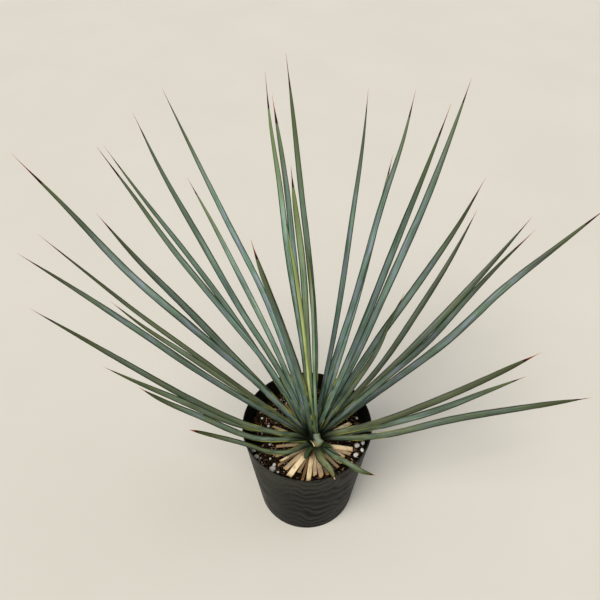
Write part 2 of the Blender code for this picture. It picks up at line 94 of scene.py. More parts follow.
# %% [markdown]
# ## Meshes from whole arrays
#
# Nearly every piece here is a closed tube in the wide sense: rings of points along a line, closed round each
# ring and shut at both ends. The points come as one array of rows and columns, so one function can give the
# faces of them all. The two ends are shut by a fan onto one more point, which keeps the surface watertight.
#
# Numbers that a finish needs, such as how far along its leaf a point is, go with the mesh as attributes.
# The texture map is in metres, so that a pattern on it can be given its real size.

# %% Mesh helpers
def tube_faces(rows, columns):
    """Quads between neighbouring rings and a fan on each end. The two poles come after the rings' points."""
    row, column = np.meshgrid(np.arange(rows - 1), np.arange(columns), indexing="ij")
    here = (row * columns + column).ravel()
    beside = (row * columns + (column + 1) % columns).ravel()
    quads = np.column_stack([here, beside, beside + columns, here + columns])
    first = np.arange(columns)
    following = (first + 1) % columns
    last = (rows - 1) * columns
    start = np.column_stack([np.full(columns, rows * columns), following, first])
    end = np.column_stack([np.full(columns, rows * columns + 1), last + first, last + following])
    return quads.tolist() + start.tolist() + end.tolist()


def with_poles(grid):
    """Rows and columns of values as one list, followed by the mean of the first row and of the last row."""
    return np.concatenate([grid.reshape(-1, *grid.shape[2:]), grid[:1].mean(axis=1), grid[-1:].mean(axis=1)])


def add_piece(name, finish, verts, faces, numbers=None, metres=None, crease=40):
    """A mesh object at the origin, smooth but for edges sharper than the crease, riding on the root body."""
    mesh = bpy.data.meshes.new(name)
    mesh.from_pydata(verts.tolist(), [], faces)
    mesh.materials.append(finish)
    mesh.shade_smooth()
    mesh.set_sharp_from_angle(angle=math.radians(crease))
    for label, values in (numbers or {}).items():
        layer = mesh.attributes.new(label, "FLOAT", "POINT")
        layer.data.foreach_set("value", np.ascontiguousarray(values, np.float32))
    if metres is not None:
        corner = np.zeros(len(mesh.loops), np.int32)
        mesh.loops.foreach_get("vertex_index", corner)
        layer = mesh.uv_layers.new(name="metres")
        layer.data.foreach_set("uv", metres[corner].astype(np.float32).ravel())
    piece = bpy.data.objects.new(name, mesh)
    bpy.context.scene.collection.objects.link(piece)
    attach(piece, "root")
    return piece


print("faces of a tube of 3 rings with 6 points each:", len(tube_faces(3, 6)))

# %% [markdown]
# ## Uneven surfaces
#
# Nothing that grew or was poured is quite even. Value noise is the simplest uneven field: random numbers at
# the corners of a square net, with a smooth blend between them. A sum of two or three nets, each finer and
# weaker than the last, looks like earth, bark or weathered fibre.

# %% Value noise
NET = 257  # random values along each side of the net, after which it starts again


def uneven(x, y, cell, seed):
    """Smooth random field from -1 to 1 over x and y, whose bumps are about one cell across.

    Each value is a blend of those at its cell's four corners, by s and t, the smoothed place in the cell.
    """
    net = np.random.default_rng(seed).uniform(-1, 1, (NET, NET))
    column, row = np.floor(x / cell).astype(int), np.floor(y / cell).astype(int)
    s, t = x / cell - column, y / cell - row
    s, t = s * s * (3 - 2 * s), t * t * (3 - 2 * t)
    left, right = column % NET, (column + 1) % NET
    low, high = [net[r % NET, left] * (1 - s) + net[r % NET, right] * s for r in (row, row + 1)]
    return low * (1 - t) + high * t


sample = uneven(np.linspace(0, 50, 500), np.full(500, 0.5), 1.0, 1)
print("noise from", sample.min().round(2), "to", sample.max().round(2))

# %% [markdown]
# ## Finishes
#
# A finish is a small network of nodes in front of the Principled shader. One function adds any node with its
# settings and its links. Colours are written as they look on a screen, and one function turns them into the
# linear values that the shader wants.

# %% Colours and nodes
def linear(hex_colour):
    """sRGB to linear: c / 12.92 for the darkest tones, ((c + 0.055) / 1.055) to the power 2.4 above them."""
    shown = np.array([int(hex_colour[i : i + 2], 16) / 255 for i in (1, 3, 5)])
    light = np.where(shown <= 0.04045, shown / 12.92, ((shown + 0.055) / 1.055) ** 2.4)
    return (*light.tolist(), 1.0)


def put_node(material, kind, settings, *inputs, out=None):
    """Adds a node and gives back one of its outputs: the one that out names, or else the first in use.

    Settings are its properties, or its sockets by name. Inputs go to its sockets in their order. A socket
    takes a number, a hex colour or another node's output.
    """
    tree = material.node_tree
    node = tree.nodes.new("ShaderNode" + kind)
    for key in filter(partial(hasattr, node), settings):
        setattr(node, key, settings[key])
    named = [(node.inputs[key], value) for key, value in settings.items() if not hasattr(node, key)]
    in_order = zip([socket for socket in node.inputs if socket.enabled], inputs)
    for socket, value in [*named, *in_order]:
        if isinstance(value, bpy.types.NodeSocket):
            tree.links.new(value, socket)
        else:
            socket.default_value = linear(value) if isinstance(value, str) else value
    return node.outputs[out] if out else [socket for socket in node.outputs if socket.enabled][0]


def start_finish(name, roughness, ior=1.45, gloss=0.5):
    """A material with three values that hold all over, its shader, and the function that adds nodes to it."""
    material = bpy.data.materials.new(name)
    material.use_nodes = True
    shader = material.node_tree.nodes["Principled BSDF"]
    for socket, value in (("Roughness", roughness), ("IOR", ior), ("Specular IOR Level", gloss)):
        shader.inputs[socket].default_value = value
    return material, shader, partial(put_node, material)


def feed(shader, **sources):
    """Links outputs of other nodes to the shader's sockets, whose names are written with _ for a space."""
    for socket, source in sources.items():
        shader.id_data.links.new(source, shader.inputs[socket.replace("_", " ")])


print("middle grey in linear light:", round(linear("#808080")[0], 3))

# %% [markdown]
# ### Coats
#
# Most of a finish is coats that lie over one another: bloom over skin, dust over plastic. So it is written as
# a list of coats. A coat is a colour and its covers, which are numbers that the mesh carries, noises or
# heights, each with the two values between which it rises and how much it covers at both. Where a coat has
# several covers, their product counts.

# %% Coats
SMOOTH = {"interpolation_type": "SMOOTHSTEP"}
TIMES = {"operation": "MULTIPLY"}
OVER = {"data_type": "RGBA"}


def share_of(put, *covers):
    """The product of the covers. One with limits is first mapped: a smooth step between them."""
    shares = [put("MapRange", SMOOTH, *cover) if isinstance(cover, tuple) else cover for cover in covers]
    return reduce(partial(put, "Math", TIMES), shares)


def coated(put, colour, *coats):
    """The colour under its coats: each mixes its own over what is there, by the share of its covers."""
    for coat, *covers in coats:
        colour = put("Mix", OVER, share_of(put, *covers), colour, coat)
    return colour


print("a smooth step a quarter of the way up:", 0.25**2 * (3 - 2 * 0.25))

# %% [markdown]
# ## The blue leaf
#
# A yucca leaf is a stiff fibrous blade. Its skin is dark green, but a bloom of wax lies on it and scatters
# blue light, which is what makes the plant look blue. The wax is thinner in some lengthwise streaks, and the
# raised veins show as fine lines. Along each side runs a thin horny margin, yellow-green in places, most of
# all near the crown; on most of the leaf a dark line of painted shade is drawn along it. Near its end the
# blade turns olive, then passes into a hard spine, which is dark maroon at first and dries to reddish brown
# and at last to a pale thread.
#
# The finish reads seven numbers that each leaf carries: how far along it the point is, as a share and in
# metres, how near the margin, whether it is on the upper face, how far into the spine, and the leaf's own
# tone and coolness. A cool leaf is blue with bloom, and one that has lost its bloom is olive.
#
# The veins are really 0.4 mm apart. Neither the photograph nor the render could show that, so the streaks
# here are about 2 mm apart. The foot of a leaf is near black, because it stands in the shade of the others.

# %% Leaf finish
VEIN_STEP = 2.0 * MM  # drawn five times as wide as the real 0.4 mm
STREAK_LENGTH = 90 * MM
LEAF_NOISES = (  # how wide and how long the bumps are, and their detail
    (VEIN_STEP, STREAK_LENGTH, 3),  # veins
    (4 * VEIN_STEP, STREAK_LENGTH / 3, 2),  # worn streaks
    (12 * VEIN_STEP, STREAK_LENGTH / 2, 1),  # patches
)
MAROON, RED_BROWN = "#310e08", "#80391b"
WAX_GLOSS, SPINE_GLOSS = 0.3, 0.08


def leaf_finish(name, skin, bloom, haze, bare, olive, edging, thread="#c99a70"):
    """Waxy leaf: bloom over the skin in streaks, yellow margins with a painted dark line of shade, an olive
    end and a dry spine.
    """
    material, shader, put = start_finish(name, 0.45)
    labels = ("along", "margin", "upper", "tone", "cool", "tip", "reach")
    carried = [put("Attribute", {"attribute_name": label}, out="Fac") for label in labels]
    along, margin, upper, tone, cool, tip, reach = carried
    spot = put("UVMap", {"uv_map": "metres"})
    noises = []
    for wide, long, detail in LEAF_NOISES:
        stretched = put("Mapping", {"Scale": (1 / wide, 1 / long, 1)}, spot)
        noises.append(put("TexNoise", {"Scale": 1, "Detail": detail, "Roughness": 0.6}, stretched))
    veins, worn, patchy = noises
    waxy = coated(put, bloom, (haze, (patchy, 0.38, 0.62), (cool, 0.55, 1.2, 0.25, 1)))
    colour = coated(
        put, skin,
        (waxy, (veins, 0.30, 0.62, 0.15, 1)),
        (bare, (cool, 0, 1, 0.75, 0)),
        (skin, (worn, 0.42, 0.66), (reach, 0.03, 0.2, 0.85, 0.25)),  # rubbed off, most of all near the foot
        (skin, (margin, 0.45, 0.7, 0, 0.35)),
        (skin, (upper, 0, 1, 0.5, 0)),  # less bloom on the under face
        (olive, (along, 0.62, 0.90, 0, 0.9)),
        ("#171d0c", (margin, 0.64, 0.80, 0, 0.9)),  # painted shade: a dark line along the margin
        (edging, (margin, 0.70, 0.82), (reach, 0.06, 0.24, 1, 0.3), (along, 0.15, 0.5, 1, 0.35),
         (patchy, 0.46, 0.62)),
        ("#0c140c", (reach, 0.012, 0.06, 0.95, 0)),  # the foot in the shade of the crown
    )
    shade = put("HueSaturation", {"Value": tone, "Color": colour})
    spine = coated(put, MAROON, (RED_BROWN, (tip, 0.26, 0.56)), (thread, (tip, 0.6, 0.95)))
    feed(shader, Base_Color=coated(put, shade, (spine, (tip, 0, 0.05))),
         Specular_IOR_Level=put("MapRange", SMOOTH, tip, 0, 0.1, WAX_GLOSS, SPINE_GLOSS),
         Normal=put("Bump", {"Strength": 0.3, "Distance": 0.4 * MM, "Height": veins}))
    return material


print("noises in a leaf's finish:", len(LEAF_NOISES))

# %% [markdown]
# ### Four kinds of leaf
#
# Waxy blue leaves have the most bloom. Grey-green ones are older, and darker towards their ends. Young ones
# are yellow-green all through, as their wax is still thin. The short leaves in front are the oldest: their
# wax is worn, and their thread has bleached. Each row gives the skin, the bloom and its haze, a leaf without
# bloom, its olive end and its yellow margin.

# %% The leaf finishes
BLUE, GREY, YOUNG, SHORT = [leaf_finish(*row) for row in (
    ("waxy_blue_leaf", "#384a36", "#749382", "#82909b", "#666a48", "#51603a", "#9a9c34"),
    ("waxy_grey_green_leaf", "#344234", "#697f6c", "#788389", "#61663c", "#3c421c", "#93953a"),
    ("young_yellow_green_leaf", "#566e4a", "#7d997c", "#8a9a8c", "#b2ad57", "#667440", "#a8a545"),
    ("short_front_leaf", "#4e583a", "#808a70", "#83908c", "#7c7646", "#656440", "#8a9130", "#f0deb4"),
)]
print("leaf finishes:", BLUE.name, GREY.name, YOUNG.name, SHORT.name)

# %% [markdown]
# ## Reading a leaf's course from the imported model
#
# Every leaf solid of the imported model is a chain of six-cornered sections. A finer blade should follow it to
# a fraction of a millimetre, so its course is read from the solid itself. The corners are sorted along the
# leaf and parted at the gaps between sections. The middle of each six gives the line, and its longest
# direction gives the way the blade is wide. Near the tip a section is as thick as it is wide, so there the
# width's direction is carried on from the last section that has a clear one.
#
# Packing may leave out a corner where it made flat faces simpler. Such a section has fewer than six corners
# and is passed over, since the smooth curve through the others bridges it.

# %% Corners and sections of a leaf
def corners_of(node):
    """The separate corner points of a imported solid, without the copies that its loose triangles hold."""
    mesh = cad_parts[node].data
    places = np.zeros(len(mesh.vertices) * 3, np.float32)
    mesh.vertices.foreach_get("co", places)
    return np.unique(np.round(places.reshape(-1, 3).astype(float), 6), axis=0)


def unit(vectors):
    """Each vector over its own length."""
    return vectors / np.linalg.norm(vectors, axis=-1, keepdims=True)


def sections_of(corners, reach):
    """Sixes of the sorted corners. A section ends at the widest gap after its corners four to seven."""
    gaps = np.append(np.diff(reach), np.inf)
    start, sections = 0, []
    while start < len(corners):
        count = 4 + int(gaps[start + 3 : start + 7].argmax())
        if count == 6:
            sections.append(corners[start : start + count])
        start += count
    return np.array(sections)


print("corners of leaf_tall_1:", len(corners_of("leaf_tall_1")))

# %% [markdown]
# ### The line and its width
#
# Foot and tip are the corners nearest to the crown's middle and farthest from it. A blade is thickest along
# its midrib, and thins out where it gets narrow. Its keel is below, so the width is turned to have the keel
# on the under side. The line wanted is the one midway up the channel. It lies a little off the middle of the
# six corners, by a sixth of what the two edges and the midrib are thicker than the channel is deep.

# %% Course of a leaf
STEM_AXIS = np.array([0.013, -0.033])
CROWN_MIDDLE = 240 * MM
LEAF_EDGE = 0.7 * MM
LEAF_THICK = 1.9 * MM
FILLING = 1.6  # the midrib is at its thickest wherever the blade is over 1 / 1.6 of its widest
CHANNEL = 0.26  # the channel's depth beside half the blade's width
CLEAR_WIDTH = 1.6 * MM  # half width from which a section shows clearly which way it is wide


def thickness(half):
    """Thickness of the midrib: from the edge's to the full one, in proportion to the half width."""
    return LEAF_EDGE + (LEAF_THICK - LEAF_EDGE) * np.clip(half / half.max() * FILLING, 0, 1)


def leaf_course(node):
    """The line's points from foot to tip, the unit width direction and the half width at each of them."""
    corners = corners_of(node)
    from_stem = np.linalg.norm(corners - (*STEM_AXIS, CROWN_MIDDLE), axis=1)
    foot, tip = corners[from_stem.argmin()], corners[from_stem.argmax()]
    reach = corners @ unit(tip - foot)
    sections = sections_of(corners[reach.argsort()], np.sort(reach))
    middles = sections.mean(axis=1)
    ahead = unit(np.gradient(middles, axis=0))
    axes = np.linalg.svd(sections - middles[:, None])[2]
    width = axes[:, 0]
    half = np.abs(np.einsum("ijk,ik->ij", sections - middles[:, None], width)).max(axis=1)
    widest = half.argmax()
    for step in (1, -1):
        row = widest
        while 0 <= row + step < len(width):
            near = width[row] - ahead[row + step] * (ahead[row + step] @ width[row])
            clear = half[row + step] > CLEAR_WIDTH
            width[row + step] = width[row + step] * np.sign(width[row + step] @ near) if clear else unit(near)
            row += step
    across = np.abs(np.einsum("ijk,ik->ij", sections - middles[:, None], width))
    half = across.max(axis=1)
    keel = sections[widest][np.argsort(across[widest])[:2]].mean(axis=0)
    if np.cross(ahead[widest], width[widest]) @ (keel - middles[widest]) > 0:
        width = -width
    face = np.cross(ahead, width)
    lift = (2 * LEAF_EDGE + thickness(half) - CHANNEL * half) / 6
    return middles + face * lift[:, None], width, half


print("sections of leaf_tall_1:", len(leaf_course("leaf_tall_1")[0]))

# %% [markdown]
# ## A finer blade
#
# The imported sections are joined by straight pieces, and their corners are sharp. The finer blade runs on a
# smooth cubic through the same points, with a rounded channel on top, a rounded keel below and rounded
# margins. Its stations are closer together near the tip, where the blade narrows into its spine. The foot
# goes on a little way into the crown, as a real leaf clasps the stem with its base.
#
# A shape is kept as four things that belong together: its points, its faces, the numbers for its finish and
# its map in metres. Several shapes can so be joined into one mesh before it becomes a piece.

# %% Section of a blade
ACROSS_FACE = 11  # points across each face of a blade
ROUNDING = 0.04  # how round the channel's bottom is
KEEL_POWER = 1.7  # how full the keel is: 1 is a roof, 2 is round
THIN_EDGE = 0.8  # the margin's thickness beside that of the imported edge
ROUND_EDGE = 0.25  # how far the faces stop short of the margin, beside the edge's thickness


def section(half, thick, edge, channel):
    """Offsets across and up for rings of a channelled blade: upper face, margin, under face, margin.

    Up the upper face it is channel * half * (r(u) - 1/2), where r(u) is |u| with a rounded bottom. The under
    face lies lower by e + (thick - e) * (1 - |u| ** 1.7), where e is the thinned edge. Each margin is one
    point at mid depth.
    """
    half, thick, edge = half[:, None], thick[:, None], edge[:, None]
    u = np.linspace(-1, 1, ACROSS_FACE) * (1 - ROUND_EDGE * edge / np.maximum(half, edge))
    rounded = (np.sqrt(u**2 + ROUNDING) - ROUNDING**0.5) / ((1 + ROUNDING) ** 0.5 - ROUNDING**0.5)
    top = channel * half * (rounded - 0.5)
    depth = edge * THIN_EDGE + (thick - edge * THIN_EDGE) * (1 - np.abs(u) ** KEEL_POWER)
    margin = top[:, -1:] - depth[:, -1:] / 2
    one = np.ones_like(half)
    across = np.hstack([u, one, u[:, ::-1], -one]) * half
    up = np.hstack([top, margin, (top - depth)[:, ::-1], margin])
    side = np.hstack([np.abs(u), one, np.abs(u[:, ::-1]), one])
    upper = np.hstack([np.ones_like(u), one * 0.5, np.zeros_like(u), one * 0.5])
    return across, up, side, upper


shown = section(*[np.array([size]) * MM for size in (8, 1.9, 0.7)], CHANNEL)[1]
print("a section has", shown.size, "points and is", round(np.ptp(shown) / MM, 2), "mm high")

# %% [markdown]
# ### From sections to a surface
#
# The sections stand square to the line, so the surface is line(t) + width(t) * across + up(t) * height. Each
# blade's map is moved on by its own number, so that no two blades show the same streaks.

# %% Blade surface
MAP_SHIFT = 1.7  # metres between the maps of two blades


def smooth_curve(knots, values, places):
    """Cubic through the values at the knots. Its slope at a knot is a mean of the slopes on both sides."""
    slopes = np.gradient(values, knots, axis=0)
    i = np.clip(np.searchsorted(knots, places, side="right") - 1, 0, len(knots) - 2)
    span, t = knots[i + 1] - knots[i], (places - knots[i]) / (knots[i + 1] - knots[i])
    if values.ndim > 1:
        span, t = span[:, None], t[:, None]
    start = values[i] * (1 + 2 * t) + slopes[i] * span * t
    end = values[i + 1] * (3 - 2 * t) - slopes[i + 1] * span * (1 - t)
    return start * (1 - t) ** 2 + end * t**2


def lengths(line):
    """Length of the line up to each of its points: the running sum of the distances between neighbours."""
    return np.concatenate([[0], np.cumsum(np.linalg.norm(np.diff(line, axis=0), axis=1))])


def blade(line, width, half, thick, edge, looks, number, share=None, channel=CHANNEL, tip=None, square=True):
    """The shape of a blade: rings of its section along the line. looks are its tone and coolness."""
    ahead = unit(np.gradient(line, axis=0))
    if square:
        width = unit(width - ahead * np.einsum("ij,ij->i", ahead, width)[:, None])
    across, up, side, upper = section(half, thick, edge, channel)
    grid = line[:, None] + width[:, None] * across[..., None]
    grid += unit(np.cross(ahead, width))[:, None] * up[..., None]
    length = lengths(line)[:, None]
    share = length / length[-1] if share is None else share[:, None]
    tip = np.zeros_like(length) if tip is None else tip[:, None]
    all_round = np.ones_like(across)
    numbers = {"along": share, "margin": side, "upper": upper, "tip": tip, "reach": length}
    numbers |= {"tone": looks[0], "cool": looks[1]}
    numbers = {label: with_poles(values * all_round) for label, values in numbers.items()}
    metres = with_poles(np.stack([across, all_round * length + MAP_SHIFT * number], axis=-1))
    return with_poles(grid), tube_faces(*across.shape), numbers, metres


straight, sideways = np.linspace((0, 0, 0), (0, 0, 1), 5), np.repeat([[1.0, 0.0, 0.0]], 5, axis=0)
sample_blade = blade(straight, sideways, *np.full((3, 5), MM), (1, 1), 0)
print("points of a blade with 5 sections:", len(sample_blade[0]))

# %% [markdown]
# ### Joining shapes
#
# A bush of small shapes is lighter to handle as one mesh. Joining is stacking: the points of one shape follow
# those of the other, and its faces, which name points by their index, have to count on from there.

# %% Joining shapes
def together(shapes):
    """Points of several shapes end to end, and their faces with the indices moved on to match."""
    starts = np.cumsum([0] + [len(shape[0]) for shape in shapes]).tolist()
    faces = [[i + start for i in face] for start, shape in zip(starts, shapes) for face in shape[1]]
    return np.vstack([shape[0] for shape in shapes]), faces


def joined(shapes):
    """Several shapes as one, with their numbers and their maps end to end too."""
    numbers = {label: np.concatenate([shape[2][label] for shape in shapes]) for label in shapes[0][2]}
    return *together(shapes), numbers, np.vstack([shape[3] for shape in shapes])


print("points of two such blades:", len(joined([sample_blade] * 2)[0]))

# %% [markdown]
# ## What sets each leaf apart
#
# The families differ in finish: the tall leaves and those at the back are the bluest, the spreading ones at
# the sides are greyer and darker, and the three youngest in the heart are still yellow-green, because their
# wax has not formed yet. Within a family each leaf has its own tone and its own coolness, both judged from
# the photograph. One leaf of the heart is lighter at its foot than the others, so it gives that tone too.
#
# The spine is about the last twelfth of the blade, and is a needle. Two numbers give it for each leaf: the
# share of the length at which it starts, and a power that draws its colours towards the end or away from it.
#
# Some leaves are fitted more closely to the photograph than their solids are: they are a little narrower or
# broader, lower down and near the top, and some stand to one side or nearer to the viewer.

# %% Tables of the leaves
FINISH_OF = {"heart": YOUNG, "tall": BLUE, "back": BLUE, "left": GREY, "right": GREY, "front": GREY}
LOOKS_OF = {  # tone, coolness and, for one, the tone of the foot
    # heart_1 and heart_3 have tones well above one: their yellow-green is their own, and the raised tone is
    # painted light, shining through these thin young leaves
    "heart_1": (1.9, 0.1), "heart_2": (0.95, 0.1, 1.35), "heart_3": (1.7, 0.8),
    "tall_1": (1.15, 0.8), "tall_2": (2.0, 0.8), "tall_3": (1.25, 0.6), "tall_4": (0.8, 1.25),
    "tall_5": (1.45, 0.8), "tall_6": (0.75, 0.9),
    "back_1": (1.35, 1.15), "back_2": (1.18, 1.0), "back_3": (1.08, 1.15), "back_4": (1.8, 1.2),
    "back_5": (0.88, 0.9), "back_6": (0.93, 0.7), "back_7": (0.95, 0.7), "back_8": (1.5, 0.55),
    "left_1": (1.4, 1.2), "left_2": (1.05, 0.75), "left_3": (0.95, 0.1), "left_4": (1.12, 0.9),
    "left_5": (1.4, 0.35), "left_6": (0.84, 0.4), "left_7": (1.3, 0.35), "left_8": (1.15, 0.6),
    "right_1": (0.97, 1.0), "right_2": (0.85, 0.5), "right_3": (0.72, 0.5), "right_4": (0.9, 0.45),
    "right_5": (0.86, 0.9), "right_6": (1.02, 1.2), "right_7": (0.75, 0.0), "right_8": (1.7, 0.7),
    "right_9": (1.1, 0.5), "front_1": (1.15, 0.3), "front_2": (1.15, 0.45), "front_3": (1.35, 0.45),
}
# how much broader the leaves of a family are at the foot, as a share
BASE_SPREAD = {"heart": 1.2, "tall": 0.6, "back": 0.6, "left": 0.45, "right": 0.45, "front": 0.0}
FITTED = {  # width lower down and near the top, millimetres to the right and towards the viewer
    "heart_1": (0.7, 1.25, -2.0, 0), "heart_2": (1.0, 1.3, 0, 14), "heart_3": (0.85, 0.95, -2.4, 0),
    "tall_2": (0.86, 0.86, 0, 0), "tall_3": (0.87, 0.85, -1.5, 0), "back_2": (0.9, 0.9, -2.0, 0),
    "front_2": (1.45, 1.45, 0, 0), "front_3": (0.82, 1.25, 0, 0),
}
SPINE_OF = {  # where it starts, and the power of its colours
    "heart_1": (0.99, 1.0), "heart_2": (0.99, 1.0), "front_1": (0.93, 0.7), "front_2": (0.93, 0.25),
    "front_3": (0.92, 0.6), "right_7": (0.92, 0.6), "right_9": (0.94, 1.0), "tall_1": (0.93, 0.7),
    "tall_5": (0.92, 1.6), "back_1": (0.93, 2.2),
}
print("leaves in the tables:", len(LOOKS_OF), "of which fitted:", len(FITTED))

# %% [markdown]
# ## The leaves
#
# Each leaf follows its own solid. Its width wavers by a few hundredths, and most leaves broaden towards the
# foot, where they clasp the stem. The needle narrows over its last twentieth. The foot is carried on a little
# way into the crown in three more sections.

# %% Surface of a leaf
STATIONS = np.concatenate([np.linspace(0, 0.9, 46), np.linspace(0.9, 1, 19)[1:]])  # shares of the length
FOOT_STEPS = np.array([1.0, 0.66, 0.33])
FOOT_REACH, FOOT_SPREAD = 9 * MM, 0.2  # how far it goes on into the crown, and how much broader it gets
WAVER, WAVERS = 0.03, 40  # how much the width wavers, as a share, and how often along a leaf
BASE_REACH = 0.2  # the share of the length in which a leaf broadens towards its foot
UPPER_PART = (0.55, 0.3)  # where a fitted leaf goes over to its second width, and over how long a share
STEP_OUT = 0.1  # the share of the length in which a leaf comes forward to its full distance
NEEDLE, NEEDLE_THINNING = (0.95, 0.05), 0.35  # its start and length, and how much narrower its end is


def ramp(values, start, length):
    """Nothing up to the start, one from start + length on, and in proportion between them."""
    return np.clip((values - start) / length, 0, 1)


def leaf_surface(leaf, number):
    """Line, width and half width of the leaf at its stations, with its foot carried on into the crown."""
    line, width, half = leaf_course("leaf_" + leaf)
    knots = lengths(line)
    knots /= knots[-1]
    line, width, half = [smooth_curve(knots, values, STATIONS) for values in (line, width, half)]
    half *= 1 + WAVER * uneven(STATIONS * WAVERS, np.full_like(STATIONS, number), 1.0, 3)
    half *= 1 + BASE_SPREAD[leaf.rsplit("_", 1)[0]] * np.exp(-((STATIONS / BASE_REACH) ** 2))
    low, high, aside, forward = FITTED.get(leaf, (1, 1, 0, 0))
    half *= low + (high - low) * ramp(STATIONS, *UPPER_PART)
    line[:, 0] += aside * MM * np.sin(math.pi * STATIONS) ** 0.5
    line += unit(EYE - line) * forward * MM * np.maximum(ramp(STATIONS, 0, STEP_OUT), 0.5)[:, None]
    half *= 1 - NEEDLE_THINNING * ramp(STATIONS, *NEEDLE)
    back = unit(line[0] - line[1]) * FOOT_REACH
    return (np.vstack([line[0] + back * FOOT_STEPS[:, None], line]),
            np.vstack([np.repeat(width[:1], len(FOOT_STEPS), axis=0), width]),
            np.concatenate([half[0] * (1 + FOOT_SPREAD * FOOT_STEPS), half]))


print("widest of leaf_tall_1, mm:", round(2 * leaf_surface("tall_1", 0)[2].max() / MM, 1))

# %% [markdown]
# ### Looks along a leaf
#
# Tone and coolness drift along a leaf in patches. Towards the foot the tone goes over to one drawn at random,
# and a young leaf gets cooler, because there it is still in the shade. In the foremost leaf of the heart this
# green part reaches high up, and only its top is yellow. Where a blade gets as narrow as a needle it gets
# thinner as well.

# %% Shape of a leaf
NEEDLE_WIDTH, NEEDLE_THINNEST = 0.6 * MM, 0.3  # the half width under which it thins, and the least share
LEAF_PATCHES, TONE_DRIFT, COOL_DRIFT = 9, 0.26, 0.3  # patches along a leaf, and what they change
FOOT_TONE, YOUNG_GREEN = (0.0, 0.3), (0.14, 0.14)  # where the foot's tone or green ends: start and length
GREEN_FROM = {"heart_2": (0.74, 0.12)}
YOUNG_REACH = 0.12  # metres added to a young leaf's reach, so that its foot is neither rubbed nor dark


def leaf_shape(leaf, looks, number, spine):
    """The blade over the leaf's surface, with tone and coolness that change along it, and its spine."""
    surface = leaf_surface(leaf, number)
    share = np.concatenate([np.zeros(len(FOOT_STEPS)), STATIONS])
    tip = ramp(share, spine[0], 1 - spine[0]) ** spine[1]
    rows, seeds = np.array([[1.0], [1.6]]), np.array([[number], [number + 60.5]])
    tone_drift, cool_drift = uneven(rows * share * LEAF_PATCHES, seeds, 1.0, 9)
    young = leaf.startswith("heart")
    from_foot = ramp(share, *GREEN_FROM.get(leaf, YOUNG_GREEN if young else FOOT_TONE))
    tone, cool, foot_tone = looks[:3]
    tone = (foot_tone + (tone - foot_tone) * from_foot) * (1 + TONE_DRIFT * tone_drift)
    cool = cool + (1 - cool) * (1 - from_foot) * young + COOL_DRIFT * cool_drift
    slender = np.clip(surface[2] / NEEDLE_WIDTH, NEEDLE_THINNEST, 1)
    shape = blade(*surface, thickness(surface[2]) * slender, LEAF_EDGE * slender,
                  (tone[:, None], cool[:, None]), number, share, tip=tip)
    shape[2]["reach"] += YOUNG_REACH * young
    return shape


print("faces of a leaf:", len(leaf_shape("tall_1", (1, 1, 1), 0, (0.92, 1))[1]))

# %% [markdown]
# ### One piece for each leaf
#
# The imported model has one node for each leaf, and every blade takes the place of its own. What the tables
# don't give is drawn at random: a little of the tone, the tone of the foot, and the place of the spine.

# %% Build the leaves
rng = np.random.default_rng(11)
for number, leaf in enumerate(sorted(LOOKS_OF)):
    family = leaf.rsplit("_", 1)[0]
    tone, cool, *foot_tone = LOOKS_OF[leaf]
    looks = (tone * rng.uniform(0.95, 1.05), cool, *foot_tone, rng.uniform(0.85, 1.35))
    spine = SPINE_OF.get(leaf, (rng.uniform(0.912, 0.935), rng.uniform(0.8, 1.5)))
    finish = SHORT if leaf == "front_2" else FINISH_OF[family]
    piece = add_piece("blade_" + leaf, finish, *leaf_shape(leaf, looks, number, spine), crease=60)
    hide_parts("leaf_" + leaf)
print("leaves:", len(LOOKS_OF), "with", len(piece.data.polygons), "faces each")

# %% [markdown]
# ## The curled leaf
#
# One short leaf in front of the crown is bent over on itself, and shows its pale underside and a cut, cream
# coloured end. It is the same blade, but its two margins are given: each is a path through points of the
# photograph, each point with its height above the floor. Towards its end it thins, gets darker and loses its
# bloom, and the last bit of it has the colour of a dry spine.

# %% Curled leaf
CURL_EDGES = (  # pixel and height in millimetres of the left margin, then of the right one
    ((312.5, 434.0), 284, (319.8, 433.4), 284), ((312.8, 438.0), 283, (320.5, 438.2), 283),
    ((313.5, 439.6), 282, (323.7, 441.2), 280), ((312.6, 440.2), 280, (320.6, 445.7), 276),
    ((311.6, 440.4), 277, (317.3, 447.3), 273), ((310.4, 440.4), 274, (314.2, 446.2), 271),
)
CURL_STATIONS = 30
CURL_THIN = ((0, 0.7, 1), (1, 1, 0.6))  # places along it and what holds there, as in the next two
CURL_TONE = ((0, 0.4, 0.6), (0.95, 0.9, 0.82))
CURL_COOL = ((0.35, 0.8), (1, 0))
DRY_END, DRY_TIP = 0.93, 0.82
CURL_NUMBER = 50  # moves its map on past those of the leaves
CURL_REACH = 0.3  # metres, far enough from the crown for a clean leaf


def curl_shape():
    """The blade between the curl's two margins, with its folded end olive and its cut end dry."""
    knots, places = np.linspace(0, 1, len(CURL_EDGES)), np.linspace(0, 1, CURL_STATIONS)
    edges = [np.array([at_height(row[side], row[side + 1]) for row in CURL_EDGES]) for side in (0, 2)]
    left, right = [np.column_stack([np.interp(places, knots, axis) for axis in edge.T]) for edge in edges]
    half = np.linalg.norm(right - left, axis=1) / 2
    thick, tone, cool = [np.interp(places, *table) for table in (CURL_THIN, CURL_TONE, CURL_COOL)]
    shape = blade((left + right) / 2, unit(right - left), half, LEAF_THICK * thick,
                  np.full(CURL_STATIONS, LEAF_EDGE), (tone[:, None], cool[:, None]), CURL_NUMBER,
                  places * 0.5, tip=np.where(places > DRY_END, DRY_TIP, 0.0), square=False)
    shape[2]["reach"] += CURL_REACH
    return shape


curled = add_piece("blade_front_4", SHORT, *curl_shape(), crease=60)
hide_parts("leaf_front_4")
print("curled leaf, faces:", len(curled.data.polygons))

